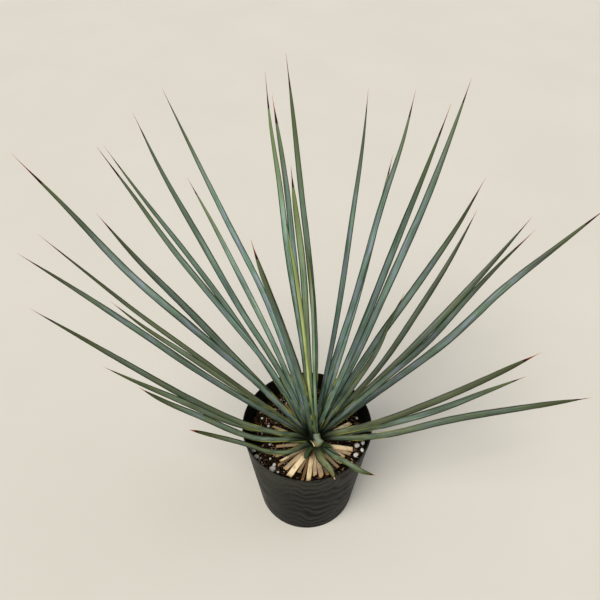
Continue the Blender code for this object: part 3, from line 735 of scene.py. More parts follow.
# %% [markdown]
# ## The can
#
# The pot is a nursery can, blow-moulded in black polyethylene. The rim is a rolled bead, and the foot has a
# raised groove with holes for water.
#
# It is one profile turned round the upright axis: down the inside, under the floor and up the outside would
# do as well, but the order here is from the middle of the underside up to the rim and down to the floor.

# %% Profile of the can
POT_HEIGHT = 257.5 * MM
RIM_RADIUS = 136 * MM
BASE_RADIUS = 106.6 * MM
WALL = 2.0 * MM
BEAD = 1.3 * MM
BEAD_ROLL, BEAD_HALF = 0.9 * MM, 3.8 * MM  # how far the bead's round side stands out, and half its height
BEAD_MIDDLE = POT_HEIGHT - 3.7 * MM
BEAD_FOOT = POT_HEIGHT - 6 * MM
OUTSIDE_TOP, INSIDE_TOP = POT_HEIGHT - 9 * MM, POT_HEIGHT - 8 * MM  # where the rings of the wall end
LIP = ((2.6 * MM, 0.2 * MM), (3.3 * MM, 1.2 * MM))  # how far in from the rim's edge, and how far down
FLOOR = 2.5 * MM
PAD_RADIUS = 58 * MM
GROOVE_RISE = 3.0 * MM
FOOT_WIDTH = 9 * MM
FOOT_EASE = 1.5 * MM
CORNER = 2 * MM  # the slant between floor and wall
WALL_ROWS, BEAD_ROWS = 76, 9
RAISED = GROOVE_RISE + FLOOR


def wall_radius(height):
    """Outer radius of the can's straight wall."""
    return BASE_RADIUS + (RIM_RADIUS - BEAD - BASE_RADIUS) * height / BEAD_FOOT


def can_profile():
    """Radius and height from under the pad up to the rim, over its elliptic bead and down to the floor."""
    foot = BASE_RADIUS - FOOT_WIDTH
    up = np.linspace(FOOT_EASE, OUTSIDE_TOP, WALL_ROWS)
    down = np.linspace(INSIDE_TOP, RAISED + CORNER, WALL_ROWS)
    turn = np.linspace(0, math.pi, BEAD_ROWS)
    bead_radius = RIM_RADIUS - BEAD_ROLL + BEAD_ROLL * np.sin(turn)
    bead = np.column_stack([bead_radius, BEAD_MIDDLE - BEAD_HALF * np.cos(turn)])
    under = [(PAD_RADIUS / 2, 0), (PAD_RADIUS, 0), (PAD_RADIUS + GROOVE_RISE, GROOVE_RISE),
             (foot - GROOVE_RISE, GROOVE_RISE), (foot, 0), (BASE_RADIUS - FOOT_EASE, 0)]
    floor = [(wall_radius(RAISED) - WALL - CORNER, RAISED), (PAD_RADIUS + FLOOR, RAISED),
             (PAD_RADIUS - FLOOR, FLOOR), (PAD_RADIUS / 2, FLOOR)]
    outside = np.column_stack([wall_radius(up), up])
    inside = np.column_stack([wall_radius(down) - WALL, down])
    lip = [(RIM_RADIUS - inwards, POT_HEIGHT - down) for inwards, down in LIP]
    return np.vstack([under, outside, bead[1:], lip, inside, floor])


profile = can_profile()
print("points in the can's profile:", len(profile))

# %% [markdown]
# ### Turned, with the waves of the wall
#
# A blown wall is never quite even: it cools in soft waves that run round it, and these bend the reflections.
# The waves are added to the radius of the outer and inner wall alike, so that the wall keeps its thickness.

# %% Turning and waves
CAN_SIDES = 240
WAVE_STEP = 14 * MM
WAVE_DEPTH = 0.15 * MM
CALM_FOOT, CALM_RIM = (12 * MM, 40 * MM), (14 * MM, 30 * MM)  # where the waves start, and over what height


def angles(sides):
    """Even steps once round."""
    return np.arange(sides) * 2 * math.pi / sides


def turned(profile, sides, extra=0.0, centre=(0.0, 0.0)):
    """A profile carried round the upright axis: x = r cos a, y = r sin a, with extra added to the radius."""
    angle = angles(sides)
    radius = profile[:, :1] + extra
    height = np.repeat(profile[:, 1:], sides, axis=1)
    grid = np.stack([centre[0] + radius * np.cos(angle), centre[1] + radius * np.sin(angle), height], axis=-1)
    return with_poles(grid), tube_faces(len(profile), sides)


def cooling_waves(profile, sides):
    """Waves of the wall: a sine up the height, whose phase and strength drift, with none at rim and foot."""
    angle = angles(sides)
    radius, height = profile[:, :1], profile[:, 1:]
    x, y = radius * np.cos(angle), radius * np.sin(angle)
    drift = 3.2 * uneven(x + 0.5 * height, y - 0.8 * height, 50 * MM, 5)
    strength = np.clip(0.5 + 0.9 * uneven(x - 0.9 * height, y + 0.4 * height, 60 * MM, 6), 0, 1)
    wave = np.sin(2 * math.pi * height / WAVE_STEP + drift) + 0.8 * uneven(x, y + 3 * height, 25 * MM, 7)
    calm = ramp(height, *CALM_FOOT) * ramp(POT_HEIGHT - height, *CALM_RIM)
    on_wall = radius > wall_radius(height) - 1.2 * WALL
    return WAVE_DEPTH * wave * strength * calm * on_wall


waves = cooling_waves(profile, CAN_SIDES)
print("waves of the wall, mm:", round(waves.min() / MM, 2), "to", round(waves.max() / MM, 2))

# %% [markdown]
# ## Black polyethylene
#
# The plastic is black all through, with a satin skin that is given hardly any shine of its own, so its
# reflections are painted into the colour. What the eye sees is what lies on it and what it reflects: a film of
# dust and dried splashes, with a painted reflection over it, turns the upper wall greyish olive, and a few
# paler scuffs run round the can. The reflections bent by the wall's waves are painted as light and dark wavy
# bands about 28 mm apart, like the figure of wood. They are a sine up the height whose phase is moved by a
# slow noise, which bends them.
#
# Dust also makes the surface less glossy, so the same field drives both the colour and the roughness. On one
# side of the can the dust lies thicker under a painted highlight, and the bands are lost in it.

# %% Can finish
REFLECTION_BAND_STEP = 28 * MM
REFLECTION_BAND_SWIRL = 34.0  # radians by which the noise moves the bands
SWIRL_WIDE, SWIRL_HIGH = 71.43 * MM, 166.7 * MM
DUST_PATCH = 35.71 * MM
DUST_SPECK = 1.538 * MM  # some ten times as coarse as dust, to show
SCUFF_LONG, SCUFF_WIDE = 71.43 * MM, 2.381 * MM


def can_finish():
    """Satin black plastic: painted reflection bands, dust in soft patches, and fine scuffs drawn out round the
    wall.
    """
    material, shader, put = start_finish("black_polyethylene", 0.4, 1.5, 0.015)
    place = put("TexCoord", {}, out="Object")
    place_x, _, height = put("SeparateXYZ", {}, place).node.outputs
    patches = put("TexNoise", {"Scale": 1 / DUST_PATCH, "Detail": 5, "Roughness": 0.6}, place)
    specks = put("TexNoise", {"Scale": 1 / DUST_SPECK, "Detail": 2, "Roughness": 0.5}, place)
    flat = put("Mapping", {"Scale": (1 / SCUFF_LONG, 1 / SCUFF_LONG, 1 / SCUFF_WIDE)}, place)
    scuffs = put("TexNoise", {"Scale": 1, "Detail": 3, "Roughness": 0.7}, flat)
    upright = put("Mapping", {"Scale": (1 / SWIRL_WIDE, 1 / SWIRL_WIDE, 1 / SWIRL_HIGH)}, place)
    swirl = put("TexNoise", {"Scale": 1, "Detail": 2, "Roughness": 0.5}, upright)
    drift = put("Math", TIMES, swirl, REFLECTION_BAND_SWIRL)
    phase = put("Math", {"operation": "MULTIPLY_ADD"}, height, 2 * math.pi / REFLECTION_BAND_STEP, drift)
    reflection_bands = put("Math", {"operation": "SINE"}, phase)
    outside = put("Attribute", {"attribute_name": "outside"}, out="Fac")
    banded = share_of(put, (place_x, -0.07, 0.03, 0.2, 1), outside, (patches, 0.35, 0.6, 0.4, 1),
                      (place_x, 0.085, 0.125, 1, 0.5))
    colour = coated(
        put, "#1e1f1e",
        ("#282927", (patches, 0.35, 0.7)),
        ("#3a3b34", (height, 0.17, 0.25, 0, 0.55)),  # olive dust on the upper wall, with a painted reflection that lightens it
        ("#383831", (place_x, -0.11, -0.01, 0.5, 0)),  # dust thicker on one side, with a painted highlight
        ("#3c3d39", (reflection_bands, 0.1, 0.9, 0, 0.65), banded),  # painted highlight: the light crests of the reflection bands
        ("#0c0c0c", (reflection_bands, -0.9, -0.2, 0.8, 0), banded),  # painted reflection: the dark lines between them
        ("#3d3c34", (scuffs, 0.62, 0.85, 0, 0.06)),
        ("#080807", (outside, 0, 1, 0.8, 0)),  # the inside, which gets no light
        ("#5b5c4e", (specks, 0.5, 0.7), (height, 0.15, 0.24, 0.08, 0.5), outside),
    )
    feed(shader, Base_Color=colour, Roughness=put("MapRange", SMOOTH, patches, 0.3, 0.75, 0.33, 0.52),
         Normal=put("Bump", {"Strength": 0.015, "Distance": 0.3 * MM, "Height": scuffs}))
    return material


BLACK = can_finish()
print("nodes in the can's finish:", len(BLACK.node_tree.nodes))

# %% [markdown]
# ### Drain holes
#
# Water leaves through six holes in the groove under the floor. They can't be part of a turned surface, so
# six upright drills are taken away from it by one Boolean, whose result is then kept as the piece's mesh.

# %% Can piece
DRAIN_COUNT, DRAIN_RADIUS, DRAIN_RING = 6, 6 * MM, 78 * MM
DRILL_BOTTOM, DRILL_TOP, DRILL_SIDES = -5 * MM, 12 * MM, 24


def drained(piece):
    """Cuts the drain holes: upright drills at even steps round the ring, all in one mesh."""
    drill = np.array([(DRAIN_RADIUS, DRILL_BOTTOM), (DRAIN_RADIUS, DRILL_TOP)])
    centres = [(DRAIN_RING * math.cos(angle), DRAIN_RING * math.sin(angle)) for angle in angles(DRAIN_COUNT)]
    verts, faces = together([turned(drill, DRILL_SIDES, centre=centre) for centre in centres])
    mesh = bpy.data.meshes.new("drills")
    mesh.from_pydata(verts.tolist(), [], faces)
    tool = bpy.data.objects.new("drills", mesh)
    bpy.context.scene.collection.objects.link(tool)
    cut = piece.modifiers.new("drain", "BOOLEAN")
    cut.operation, cut.solver, cut.object = "DIFFERENCE", "EXACT", tool
    graph = bpy.context.evaluated_depsgraph_get()
    result = bpy.data.meshes.new_from_object(piece.evaluated_get(graph))
    piece.modifiers.clear()
    piece.data = result
    bpy.data.objects.remove(tool)


verts, faces = turned(profile, CAN_SIDES, waves)
on_outside = profile[:, :1] > wall_radius(profile[:, 1:]) - 0.5 * WALL
numbers = {"outside": with_poles(np.repeat(on_outside * 1.0, CAN_SIDES, axis=1))}
can = add_piece("nursery_can", BLACK, verts, faces, numbers, crease=35)
drained(can)
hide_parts("pot")
print("can, faces:", len(can.data.polygons))

# %% [markdown]
# ## The soil bed
#
# The can is filled to some 5 cm below its rim with an open mix: composted bark, peat and pumice. The bed
# is a solid that fills the can, with a hole for the rootstock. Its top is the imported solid's gentle mound,
# with three more octaves of unevenness for crumbs of about 12, 5 and 2.5 mm.

# %% Height of the soil
SOIL_LEVEL = 210 * MM
SOIL_MOUND, MOUND_REACH = 5 * MM, 50 * MM
SOIL_RELIEF, CALM_REACH = 2.2 * MM, 35 * MM
CRUMBS = ((12 * MM, 1.3 * MM), (5 * MM, 1.0 * MM), (2.6 * MM, 0.6 * MM))  # how wide and how deep


def soil_height(x, y):
    """The top of the packed soil: a mound round the stem and waves of 20 to 90 mm, calm near the stem.

    The numbers beside x and y in the sines are radians for each metre.
    """
    from_stem = np.hypot(x - STEM_AXIS[0], y - STEM_AXIS[1])
    mound = SOIL_MOUND * np.exp(-((from_stem / MOUND_REACH) ** 2))
    waves = np.sin(83 * x + 2) * np.cos(71 * y)
    waves = waves + 0.6 * np.sin(160 * x - 131 * y) + 0.4 * np.cos(290 * y + 210 * x)
    return SOIL_LEVEL + mound + SOIL_RELIEF * 0.5 * waves * (1 - np.exp(-((from_stem / CALM_REACH) ** 2)))


def crumbly_height(x, y):
    """The soil's height with its crumbs, each octave a field of value noise with its own cell and depth."""
    crumbs = [depth * uneven(x, y, cell, 20 + k) for k, (cell, depth) in enumerate(CRUMBS)]
    return soil_height(x, y) + sum(crumbs)


levels = soil_height(np.array([STEM_AXIS[0], RIM_RADIUS]), STEM_AXIS[1])
print("soil at the stem and at the wall, mm:", *np.round(levels / MM, 1))

# %% [markdown]
# ### The bed as one closed surface
#
# The bed is rings again: up the inside of the can, in over the top and down the hole for the rootstock. The
# rings of the top go over evenly from a circle at the wall to one round the hole, which isn't in the middle.

# %% Soil bed
ROOT_RADIUS, ROOT_TAPER, ROOT_BOTTOM = 13 * MM, 0.45, 120 * MM
GAP = 0.3 * MM
BED_SHOULDER = 195 * MM
EDGE_DIP = 4 * MM  # how far below its level the soil's edge may lie
BED_SIDES, BED_RINGS = 300, 84


def bed_shape():
    """Rings up the inside of the can, in over the top to the hole, and down the hole."""
    circle = np.column_stack([np.cos(angles(BED_SIDES)), np.sin(angles(BED_SIDES))])
    corner = RAISED + CORNER
    low = [(PAD_RADIUS - FLOOR, FLOOR), (PAD_RADIUS + FLOOR, RAISED),
           (wall_radius(RAISED) - WALL - CORNER, RAISED), (wall_radius(corner) - WALL, corner),
           (wall_radius(BED_SHOULDER) - WALL, BED_SHOULDER)]
    low = [np.column_stack([circle * (r - 2 * GAP), np.full(BED_SIDES, z + GAP)]) for r, z in low]
    outer = circle * (wall_radius(SOIL_LEVEL - EDGE_DIP) - WALL - 2 * GAP)
    inner = STEM_AXIS + circle * (ROOT_RADIUS + GAP)
    share = np.linspace(0, 1, BED_RINGS)[:, None, None]
    top = outer + (inner - outer) * share
    height = crumbly_height(top[..., 0], top[..., 1])
    top = np.concatenate([top, height[..., None]], axis=-1)
    hole = STEM_AXIS + circle * (ROOT_TAPER * ROOT_RADIUS + GAP)
    hole = np.column_stack([hole, np.full(BED_SIDES, ROOT_BOTTOM - GAP)])
    grid = np.concatenate([np.array(low), top, hole[None]])
    return with_poles(grid), tube_faces(len(grid), BED_SIDES)


print("points of the bed:", len(bed_shape()[0]))

# %% [markdown]
# ## The earth's finish
#
# Damp bark and peat are nearly black, with brown where a crumb has dried and a grey haze of pumice dust. The
# grain is drawn at 4 to 5 mm, which is the real size of the crumbs, and a finer noise breaks up its surface.
# Damp as it is, it hardly shines, because its surface is broken all over.

# %% Soil finish and piece
CRUMB_GRAIN, CRUMB_CELL = 5.263 * MM, 3.846 * MM
BROKEN_GLOSS = 0.08


def soil_finish():
    """Black-brown earth: brown dried crumbs, a few pale grains of dust, and a rough broken surface."""
    material, shader, put = start_finish("damp_bark_and_peat", 0.92, gloss=BROKEN_GLOSS)
    place = put("TexCoord", {}, out="Object")
    crumbs = put("TexNoise", {"Scale": 1 / CRUMB_GRAIN, "Detail": 4, "Roughness": 0.65}, place)
    cells = put("TexVoronoi", {"feature": "F1", "Scale": 1 / CRUMB_CELL}, place, out="Color")
    grey = put("RGBToBW", {}, cells)
    colour = coated(
        put, "#050302",
        ("#1b130c", (crumbs, 0.38, 0.66)),
        ("#453524", (grey, 0.74, 0.82, 0, 0.7)),
        ("#8a8071", (grey, 0.88, 0.92, 0, 0.6)),
    )
    feed(shader, Base_Color=colour,
         Normal=put("Bump", {"Strength": 0.8, "Distance": 1.5 * MM, "Height": crumbs}))
    return material


bed = add_piece("soil_bed", soil_finish(), *bed_shape(), crease=180)
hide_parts("soil")
print("soil bed, faces:", len(bed.data.polygons))

# %% [markdown]
# ## Bark, pumice and crumbs on the soil
#
# On the bed lie loose bits. All of them start from one rough pebble of 48 faces: a ball squeezed by a power
# of its sines and cosines, which makes it rounder or more like a block, with each corner pushed in or out at
# random. Only the size, the squareness and the finish differ. Bark is flat and blocky, pumice is rounded.
# The larger pumice stones lie where the photograph shows them, the small bits are strewn evenly.

# %% Loose bits
PEBBLE_ROWS, PEBBLE_SIDES = 5, 8
MOST_TILT = 0.45  # radians
SINK = 0.15  # how deep a bit lies, as a share of its height


def power(values, exponent):
    """The absolute values to the power, with the signs that they had."""
    return np.sign(values) * np.abs(values) ** exponent


def pebbles(spots, sizes, seed, squareness, jitter=0.12):
    """Rough balls at the spots: x, y, z are powers of sines and cosines of two angles, scaled and turned.

    spots is n by 2 and sizes n by 3, both in metres.
    """
    rng = np.random.default_rng(seed)
    rise_angle = np.linspace(-0.5, 0.5, PEBBLE_ROWS + 2)[1:-1] * math.pi
    up, turn = np.meshgrid(rise_angle, angles(PEBBLE_SIDES), indexing="ij")
    level = power(np.cos(up), squareness)
    ball = np.stack([level * power(np.cos(turn), squareness), level * power(np.sin(turn), squareness),
                     power(np.sin(up), squareness)], axis=-1).reshape(-1, 3)
    ball = np.vstack([ball, [(0, 0, -1)], [(0, 0, 1)]])
    count = len(spots)
    points = ball * rng.uniform(1 - jitter, 1 + jitter, (count, len(ball), 1)) * sizes[:, None] / 2
    spin, tilt = rng.uniform(0, 2 * math.pi, count), rng.uniform(-MOST_TILT, MOST_TILT, count)
    (spin_x, spin_y), (tilt_x, tilt_z) = (np.cos(spin), np.sin(spin)), (np.cos(tilt), np.sin(tilt))
    zero, one = np.zeros(count), np.ones(count)
    about_z = np.array([[spin_x, -spin_y, zero], [spin_y, spin_x, zero], [zero, zero, one]])
    about_y = np.array([[tilt_x, zero, tilt_z], [zero, one, zero], [-tilt_z, zero, tilt_x]])
    points = np.einsum("ijn,jkn,npk->npi", about_z, about_y, points)
    height = crumbly_height(spots[:, 0], spots[:, 1]) + sizes[:, 2] * (0.5 - SINK)
    points += np.column_stack([spots, height])[:, None]
    faces = tube_faces(PEBBLE_ROWS, PEBBLE_SIDES)
    tone = np.repeat(rng.uniform(0, 1, count), len(ball))
    return *together([(verts, faces) for verts in points]), {"tone": tone}


print("faces of a pebble:", len(tube_faces(PEBBLE_ROWS, PEBBLE_SIDES)))

# %% [markdown]
# ### Strewn over the bed
#
# To strew points evenly over a round bed, the radius has to be the root of a random share: a share of the
# area, not of the way out. The few that would fall on the stem are left out.

# %% Places and sizes of the bits
BARE_RADIUS, WALL_MARGIN = 24 * MM, 7 * MM  # how far bits stay from the stem's axis and from the wall
STONE_LEVEL = 213  # millimetres above the floor, at the middle of a stone
STONE_SHAPE = (1, 0.85, 0.72)  # length, width and height, as shares of the length
PUMICE = (  # pixel and length in millimetres of the larger stones
    ((253.3, 450.4), 13.5), ((256.6, 457.4), 11.5), ((270, 444), 7), ((270.4, 459), 6), ((274.2, 465), 9),
    ((272.6, 469.6), 14.5), ((278, 472), 6), ((268.5, 425.6), 7), ((357, 446), 12), ((356, 455.4), 12),
    ((363, 443), 9), ((362, 450.6), 10), ((351.5, 463), 8), ((262, 418), 6), ((352, 408), 8), ((357, 418), 7),
)


def strewn(count, seed):
    """Points spread evenly over the bed, off stem and wall: the radius is the root of a random share."""
    rng = np.random.default_rng(seed)
    angle = rng.uniform(0, 2 * math.pi, count)
    reach = (wall_radius(SOIL_LEVEL) - WALL - WALL_MARGIN) * np.sqrt(rng.uniform(0, 1, count))
    spots = np.column_stack([reach * np.cos(angle), reach * np.sin(angle)])
    return spots[np.linalg.norm(spots - STEM_AXIS, axis=1) > BARE_RADIUS]


def sized(count, seed, limits, wide, high):
    """Random sizes: a length between the two given, with the width and height as shares of it."""
    length = np.random.default_rng(seed).uniform(*limits, count)[:, None] * MM
    return length * np.column_stack([np.ones(count), np.full(count, wide), np.full(count, high)])


stone_spots = np.array([at_height(pixel, STONE_LEVEL)[:2] for pixel, _ in PUMICE])
stone_sizes = np.array([size for _, size in PUMICE])[:, None] * MM * STONE_SHAPE
small_spots = strewn(90, 34)
small_sizes = sized(len(small_spots), 35, (1.8, 4.2), 0.85, 0.7)
print("pumice stones, placed and strewn:", len(stone_spots), len(small_spots))

# %% [markdown]
# ## Their finishes
#
# Bark bits run from almost black to a dry reddish brown. Pumice is a volcanic froth: pale grey, matt and
# pitted, with earth in its hollows. Each bit's own tone comes with it as a number.

# %% Finishes and pieces of the loose bits
BARK_PITS, PUMICE_PITS = 2.381 * MM, 2.0 * MM  # the pits of pumice are finer, and drawn wider to show


def grain_finish(name, dark, light, soiled, pit):
    """Matt grain: the bit's own tone between dark and light, soiled in the hollows of a noise, and pitted."""
    material, shader, put = start_finish(name, 0.9, gloss=BROKEN_GLOSS)
    place = put("TexCoord", {}, out="Object")
    tone = put("Attribute", {"attribute_name": "tone"}, out="Fac")
    pits = put("TexNoise", {"Scale": 1 / pit, "Detail": 4, "Roughness": 0.7}, place)
    colour = coated(put, dark, (light, tone), (soiled, (pits, 0.35, 0.6, 0.65, 0)))
    feed(shader, Base_Color=colour,
         Normal=put("Bump", {"Strength": 0.6, "Distance": 0.8 * MM, "Height": pits}))
    return material


BARK = grain_finish("composted_bark", "#0d0805", "#43301f", "#080502", BARK_PITS)
DRY_BARK = grain_finish("dry_bark_and_straw", "#513a2e", "#cfab92", "#3a2820", BARK_PITS)
STONE = grain_finish("pumice", "#cbc8c1", "#f4f2ec", "#8f8a80", PUMICE_PITS)
bits = (  # name, finish, places, shortest and longest in mm, width and height to length, squareness
    ("bark_bits", BARK, strewn(620, 30), (3.5, 12), 0.5, 0.35, 0.6),
    ("bark_crumbs", BARK, strewn(900, 31), (1.8, 4.5), 0.8, 0.6, 0.8),
    ("dry_bits", DRY_BARK, strewn(240, 32), (2.5, 8.5), 0.4, 0.3, 0.6),
    ("dry_fibres", DRY_BARK, strewn(420, 36), (6, 17), 0.09, 0.08, 0.8),
)
for name, finish, spots, limits, wide, high, squareness in bits:
    sizes = sized(len(spots), 33, limits, wide, high)
    piece = add_piece(name, finish, *pebbles(spots, sizes, 40, squareness))
    print(name, len(spots))
stones = pebbles(np.vstack([stone_spots, small_spots]), np.vstack([stone_sizes, small_sizes]), 41, 0.9, 0.1)
piece = add_piece("pumice_stones", STONE, *stones)
print("pumice_stones", len(stone_spots) + len(small_spots))

# %% [markdown]
# ## The collar of dry leaf bases
#
# Old leaves were cut off a thumb's width from the stem. Their bases have dried to straw: cream to tan, with
# grey weathering, coarse fibres along them and a square, frayed end. They stand out round the stem like the
# rays of a star.
#
# Each one is the blade again, thick and short, with little channel, and twisted a little. Each end is cut at
# its own slant. The fraying shifts the points of the last rings along the base by random amounts.

# %% One dry leaf base
STEM_RADIUS = 15.5 * MM
STUB_THICK = 2.6 * MM
STUB_OUTLINE = (0.8, 1.0, 1.0, 0.92)  # its width at the root, half way, near the end and at the end
STUB_CHANNEL, STUB_EDGE = 0.15, 0.7  # channel's depth to half the width, and edge to full thickness
STUB_COOL = 0.3
HUMP, MOST_TWIST = 2.5 * MM, 0.45  # how far the line rises between its ends, and radians
RAGGED = 0.03  # how uneven the width is, as a share
FRAY = 1.1 * MM
SLANT = 2.6 * MM
FRAYED_ROWS = np.array([[0.15], [0.4], [0.75], [1.0]])  # how far the last four rings follow the cut
STUB_PLACES = np.linspace(0, 1, 16)


def stub_shape(end, root_height, width, number, tone, thickness=STUB_THICK, outline=STUB_OUTLINE):
    """A cut base from inside the stem to its end: the line is humped, and the end is frayed at random."""
    rng = np.random.default_rng(100 + number)
    side = unit(end[:2] - STEM_AXIS)
    root = np.array([*(STEM_AXIS + 0.4 * STEM_RADIUS * side), root_height])
    line = root + (end - root) * STUB_PLACES[:, None]
    line[:, 2] += HUMP * np.sin(math.pi * STUB_PLACES)
    twist = rng.uniform(-MOST_TWIST, MOST_TWIST) * STUB_PLACES
    across = np.column_stack([-side[1] * np.cos(twist), side[0] * np.cos(twist), np.sin(twist)])
    ragged = RAGGED * rng.normal(size=len(STUB_PLACES))
    half = width / 2 * (np.interp(STUB_PLACES, [0, 0.5, 0.85, 1], outline) + ragged)
    thick = thickness * np.interp(STUB_PLACES, [0, 0.8, 1], [1, 1, 0.8])
    verts, faces, numbers, metres = blade(line, across, half, thick, thick * STUB_EDGE, (tone, STUB_COOL),
                                          number, 0.5 * STUB_PLACES, STUB_CHANNEL)
    over = np.linspace(-1, 1, ACROSS_FACE)
    sideways = np.concatenate([over, [1], -over, [-1]])
    frayed = np.zeros((len(STUB_PLACES), len(sideways)))
    cut = rng.normal(size=len(sideways)) * FRAY + sideways * rng.uniform(-SLANT, SLANT)
    frayed[-len(FRAYED_ROWS) :] = cut * FRAYED_ROWS
    verts[: frayed.size] += frayed.reshape(-1, 1) * unit(end - root)
    at_end = (STUB_PLACES > 0.99)[:, None] * np.ones_like(frayed)
    numbers["end"] = with_poles(at_end)
    return verts, faces, numbers, metres


print("points of a dry base:", len(stub_shape(np.array([0.05, 0.0, 0.22]), 0.22, 8 * MM, 0, 1)[0]))

# %% [markdown]
# ### The stem's core
#
# All the bases grow out of the stem's core. It is a turned shape with low bumps in a spiral, where older
# bases have rotted away, and goes on below the soil as a tapered rootstock.

# %% Core of the stem
STEM_TOP = 236 * MM
BUMP_SPIRAL = 900  # radians for each metre up
CORE_NUMBERS = {"along": 0.1, "margin": 0.5, "upper": 1.0, "tone": 0.3, "cool": 0.3}
CORE_NUMBERS |= {"tip": 0.0, "reach": 0.0, "end": 0.0}


def core_shape(profile, sides, bumps, depth):
    """The core turned round the stem's axis, its radius changed by depth * sin(bumps * a + spiral * z)."""
    extra = depth * np.sin(bumps * angles(sides) + profile[:, 1:] * BUMP_SPIRAL)
    verts, faces = turned(profile, sides, extra, STEM_AXIS)
    numbers = {label: np.full(len(verts), value) for label, value in CORE_NUMBERS.items()}
    return verts, faces, numbers, np.column_stack([verts[:, 0], verts[:, 2]])


print("points of a core with two rings:", len(core_shape(np.array([(1, 0), (1, 1)]), 56, 9, 0)[0]))

# %% [markdown]
# ### The collar
#
# The bases in front lie where the photograph shows their ends. A second, darker layer of shorter ones below
# fills the gaps between them, at even steps round the stem with a little chance in each.

# %% Collar
STUBS = (  # pixel and height in millimetres of the end, width in millimetres, and tone
    ((275.8, 456.3), 226, 7, 0.8), ((281, 460.7), 226, 7, 1.0), ((285.2, 469), 223, 9.5, 0.4),
    ((289.2, 475.8), 226, 12.5, 1.0), ((299, 472), 221, 7.5, 0.15), ((302.3, 480), 217, 6, 0.0),
    ((308.4, 480.5), 225, 11, 0.75), ((315, 475), 223, 9, 0.4), ((321.6, 476.5), 221, 10.5, 0.3),
    ((327.5, 474.5), 218, 7, 0.05), ((330.3, 467.5), 226, 8, 0.95), ((337.6, 467), 222, 8.5, 0.35),
    ((340.5, 463), 219, 5.5, 0.6), ((344, 457), 226, 13.5, 0.75), ((350, 454), 221, 8, 0.35),
    ((352.5, 449.3), 226, 11, 0.8), ((350.3, 423), 232, 12.5, 0.9), ((335.5, 413.5), 237, 10, 0.7),
    ((285.5, 405), 236, 9, 0.15), ((273.3, 426.3), 229, 8, 0.4), ((276.5, 446.3), 229, 8.5, 0.3),
    ((302, 396), 236, 9, 0.2), ((322, 400), 232, 10, 0.2), ((278.5, 465), 217, 6, 0.1),
)
CORE_BUMPS = (56, 9, 0.6 * MM)  # sides of the core, and how many bumps go round it and how deep they are
LOWER_COUNT = 20
LOWER_FIRST = 40  # number of the first of them, on which its chances and its map depend
LOWER_REACH, LOWER_RISE, LOWER_WIDTH = (20, 27), (2.5, 5.5), (6, 9)  # least and most, in millimetres
LOWER_THICK, LOWER_TONE = 2 * MM, (0, 0.12)
LOWER_ROOT, UPPER_ROOT, ROOT_STEP = 221 * MM, 225 * MM, 1.5 * MM


def collar():
    """The stem's core, the bases seen in the photograph, and a lower ring of shorter, darker ones."""
    rng = np.random.default_rng(8)
    soil = SOIL_LEVEL + SOIL_MOUND
    profile = np.array([(ROOT_TAPER * ROOT_RADIUS, ROOT_BOTTOM), (ROOT_RADIUS - GAP, SOIL_LEVEL - 3 * MM),
                        (ROOT_RADIUS, soil + 1 * MM), (STEM_RADIUS, soil + 4 * MM),
                        (STEM_RADIUS, STEM_TOP - 6 * MM), (STEM_RADIUS, STEM_TOP)])
    shapes = [core_shape(profile, *CORE_BUMPS)]
    for number, (pixel, height, width, tone) in enumerate(STUBS):
        root_height = UPPER_ROOT + (number % 3) * ROOT_STEP
        shapes.append(stub_shape(at_height(pixel, height), root_height, width * MM, number, tone))
    for number in range(LOWER_COUNT):
        angle = 2 * math.pi * (number + rng.uniform(-0.3, 0.3)) / LOWER_COUNT
        reach = rng.uniform(*LOWER_REACH) * MM
        spot = STEM_AXIS + reach * np.array([math.cos(angle), math.sin(angle)])
        end = np.array([*spot, soil_height(*spot) + rng.uniform(*LOWER_RISE) * MM])
        width = rng.uniform(*LOWER_WIDTH) * MM
        tone = rng.uniform(*LOWER_TONE)
        shapes.append(stub_shape(end, LOWER_ROOT, width, LOWER_FIRST + number, tone, LOWER_THICK))
    return joined(shapes)


print("dry bases:", len(STUBS) + LOWER_COUNT)

# %% [markdown]
# ## Straw
#
# The dry bases are bundles of stiff fibres held by a papery skin. Colour and relief both run along them: pale
# straw between darker lines, about 1 mm apart here though the real fibres are half that. Each base is more or
# less weathered, so its tone shifts it from cream to greyish brown, with orange stains where water stood and
# the orange of the inside on the cut end. Towards the stem it goes brown in the shade, and its sides are
# painted darker with shade.

# %% Straw finish and piece
FIBRE_WIDE, FIBRE_LONG = 1.0 * MM, 22.22 * MM
STAIN_WIDE, STAIN_LONG = 6.25 * MM, 14.286 * MM


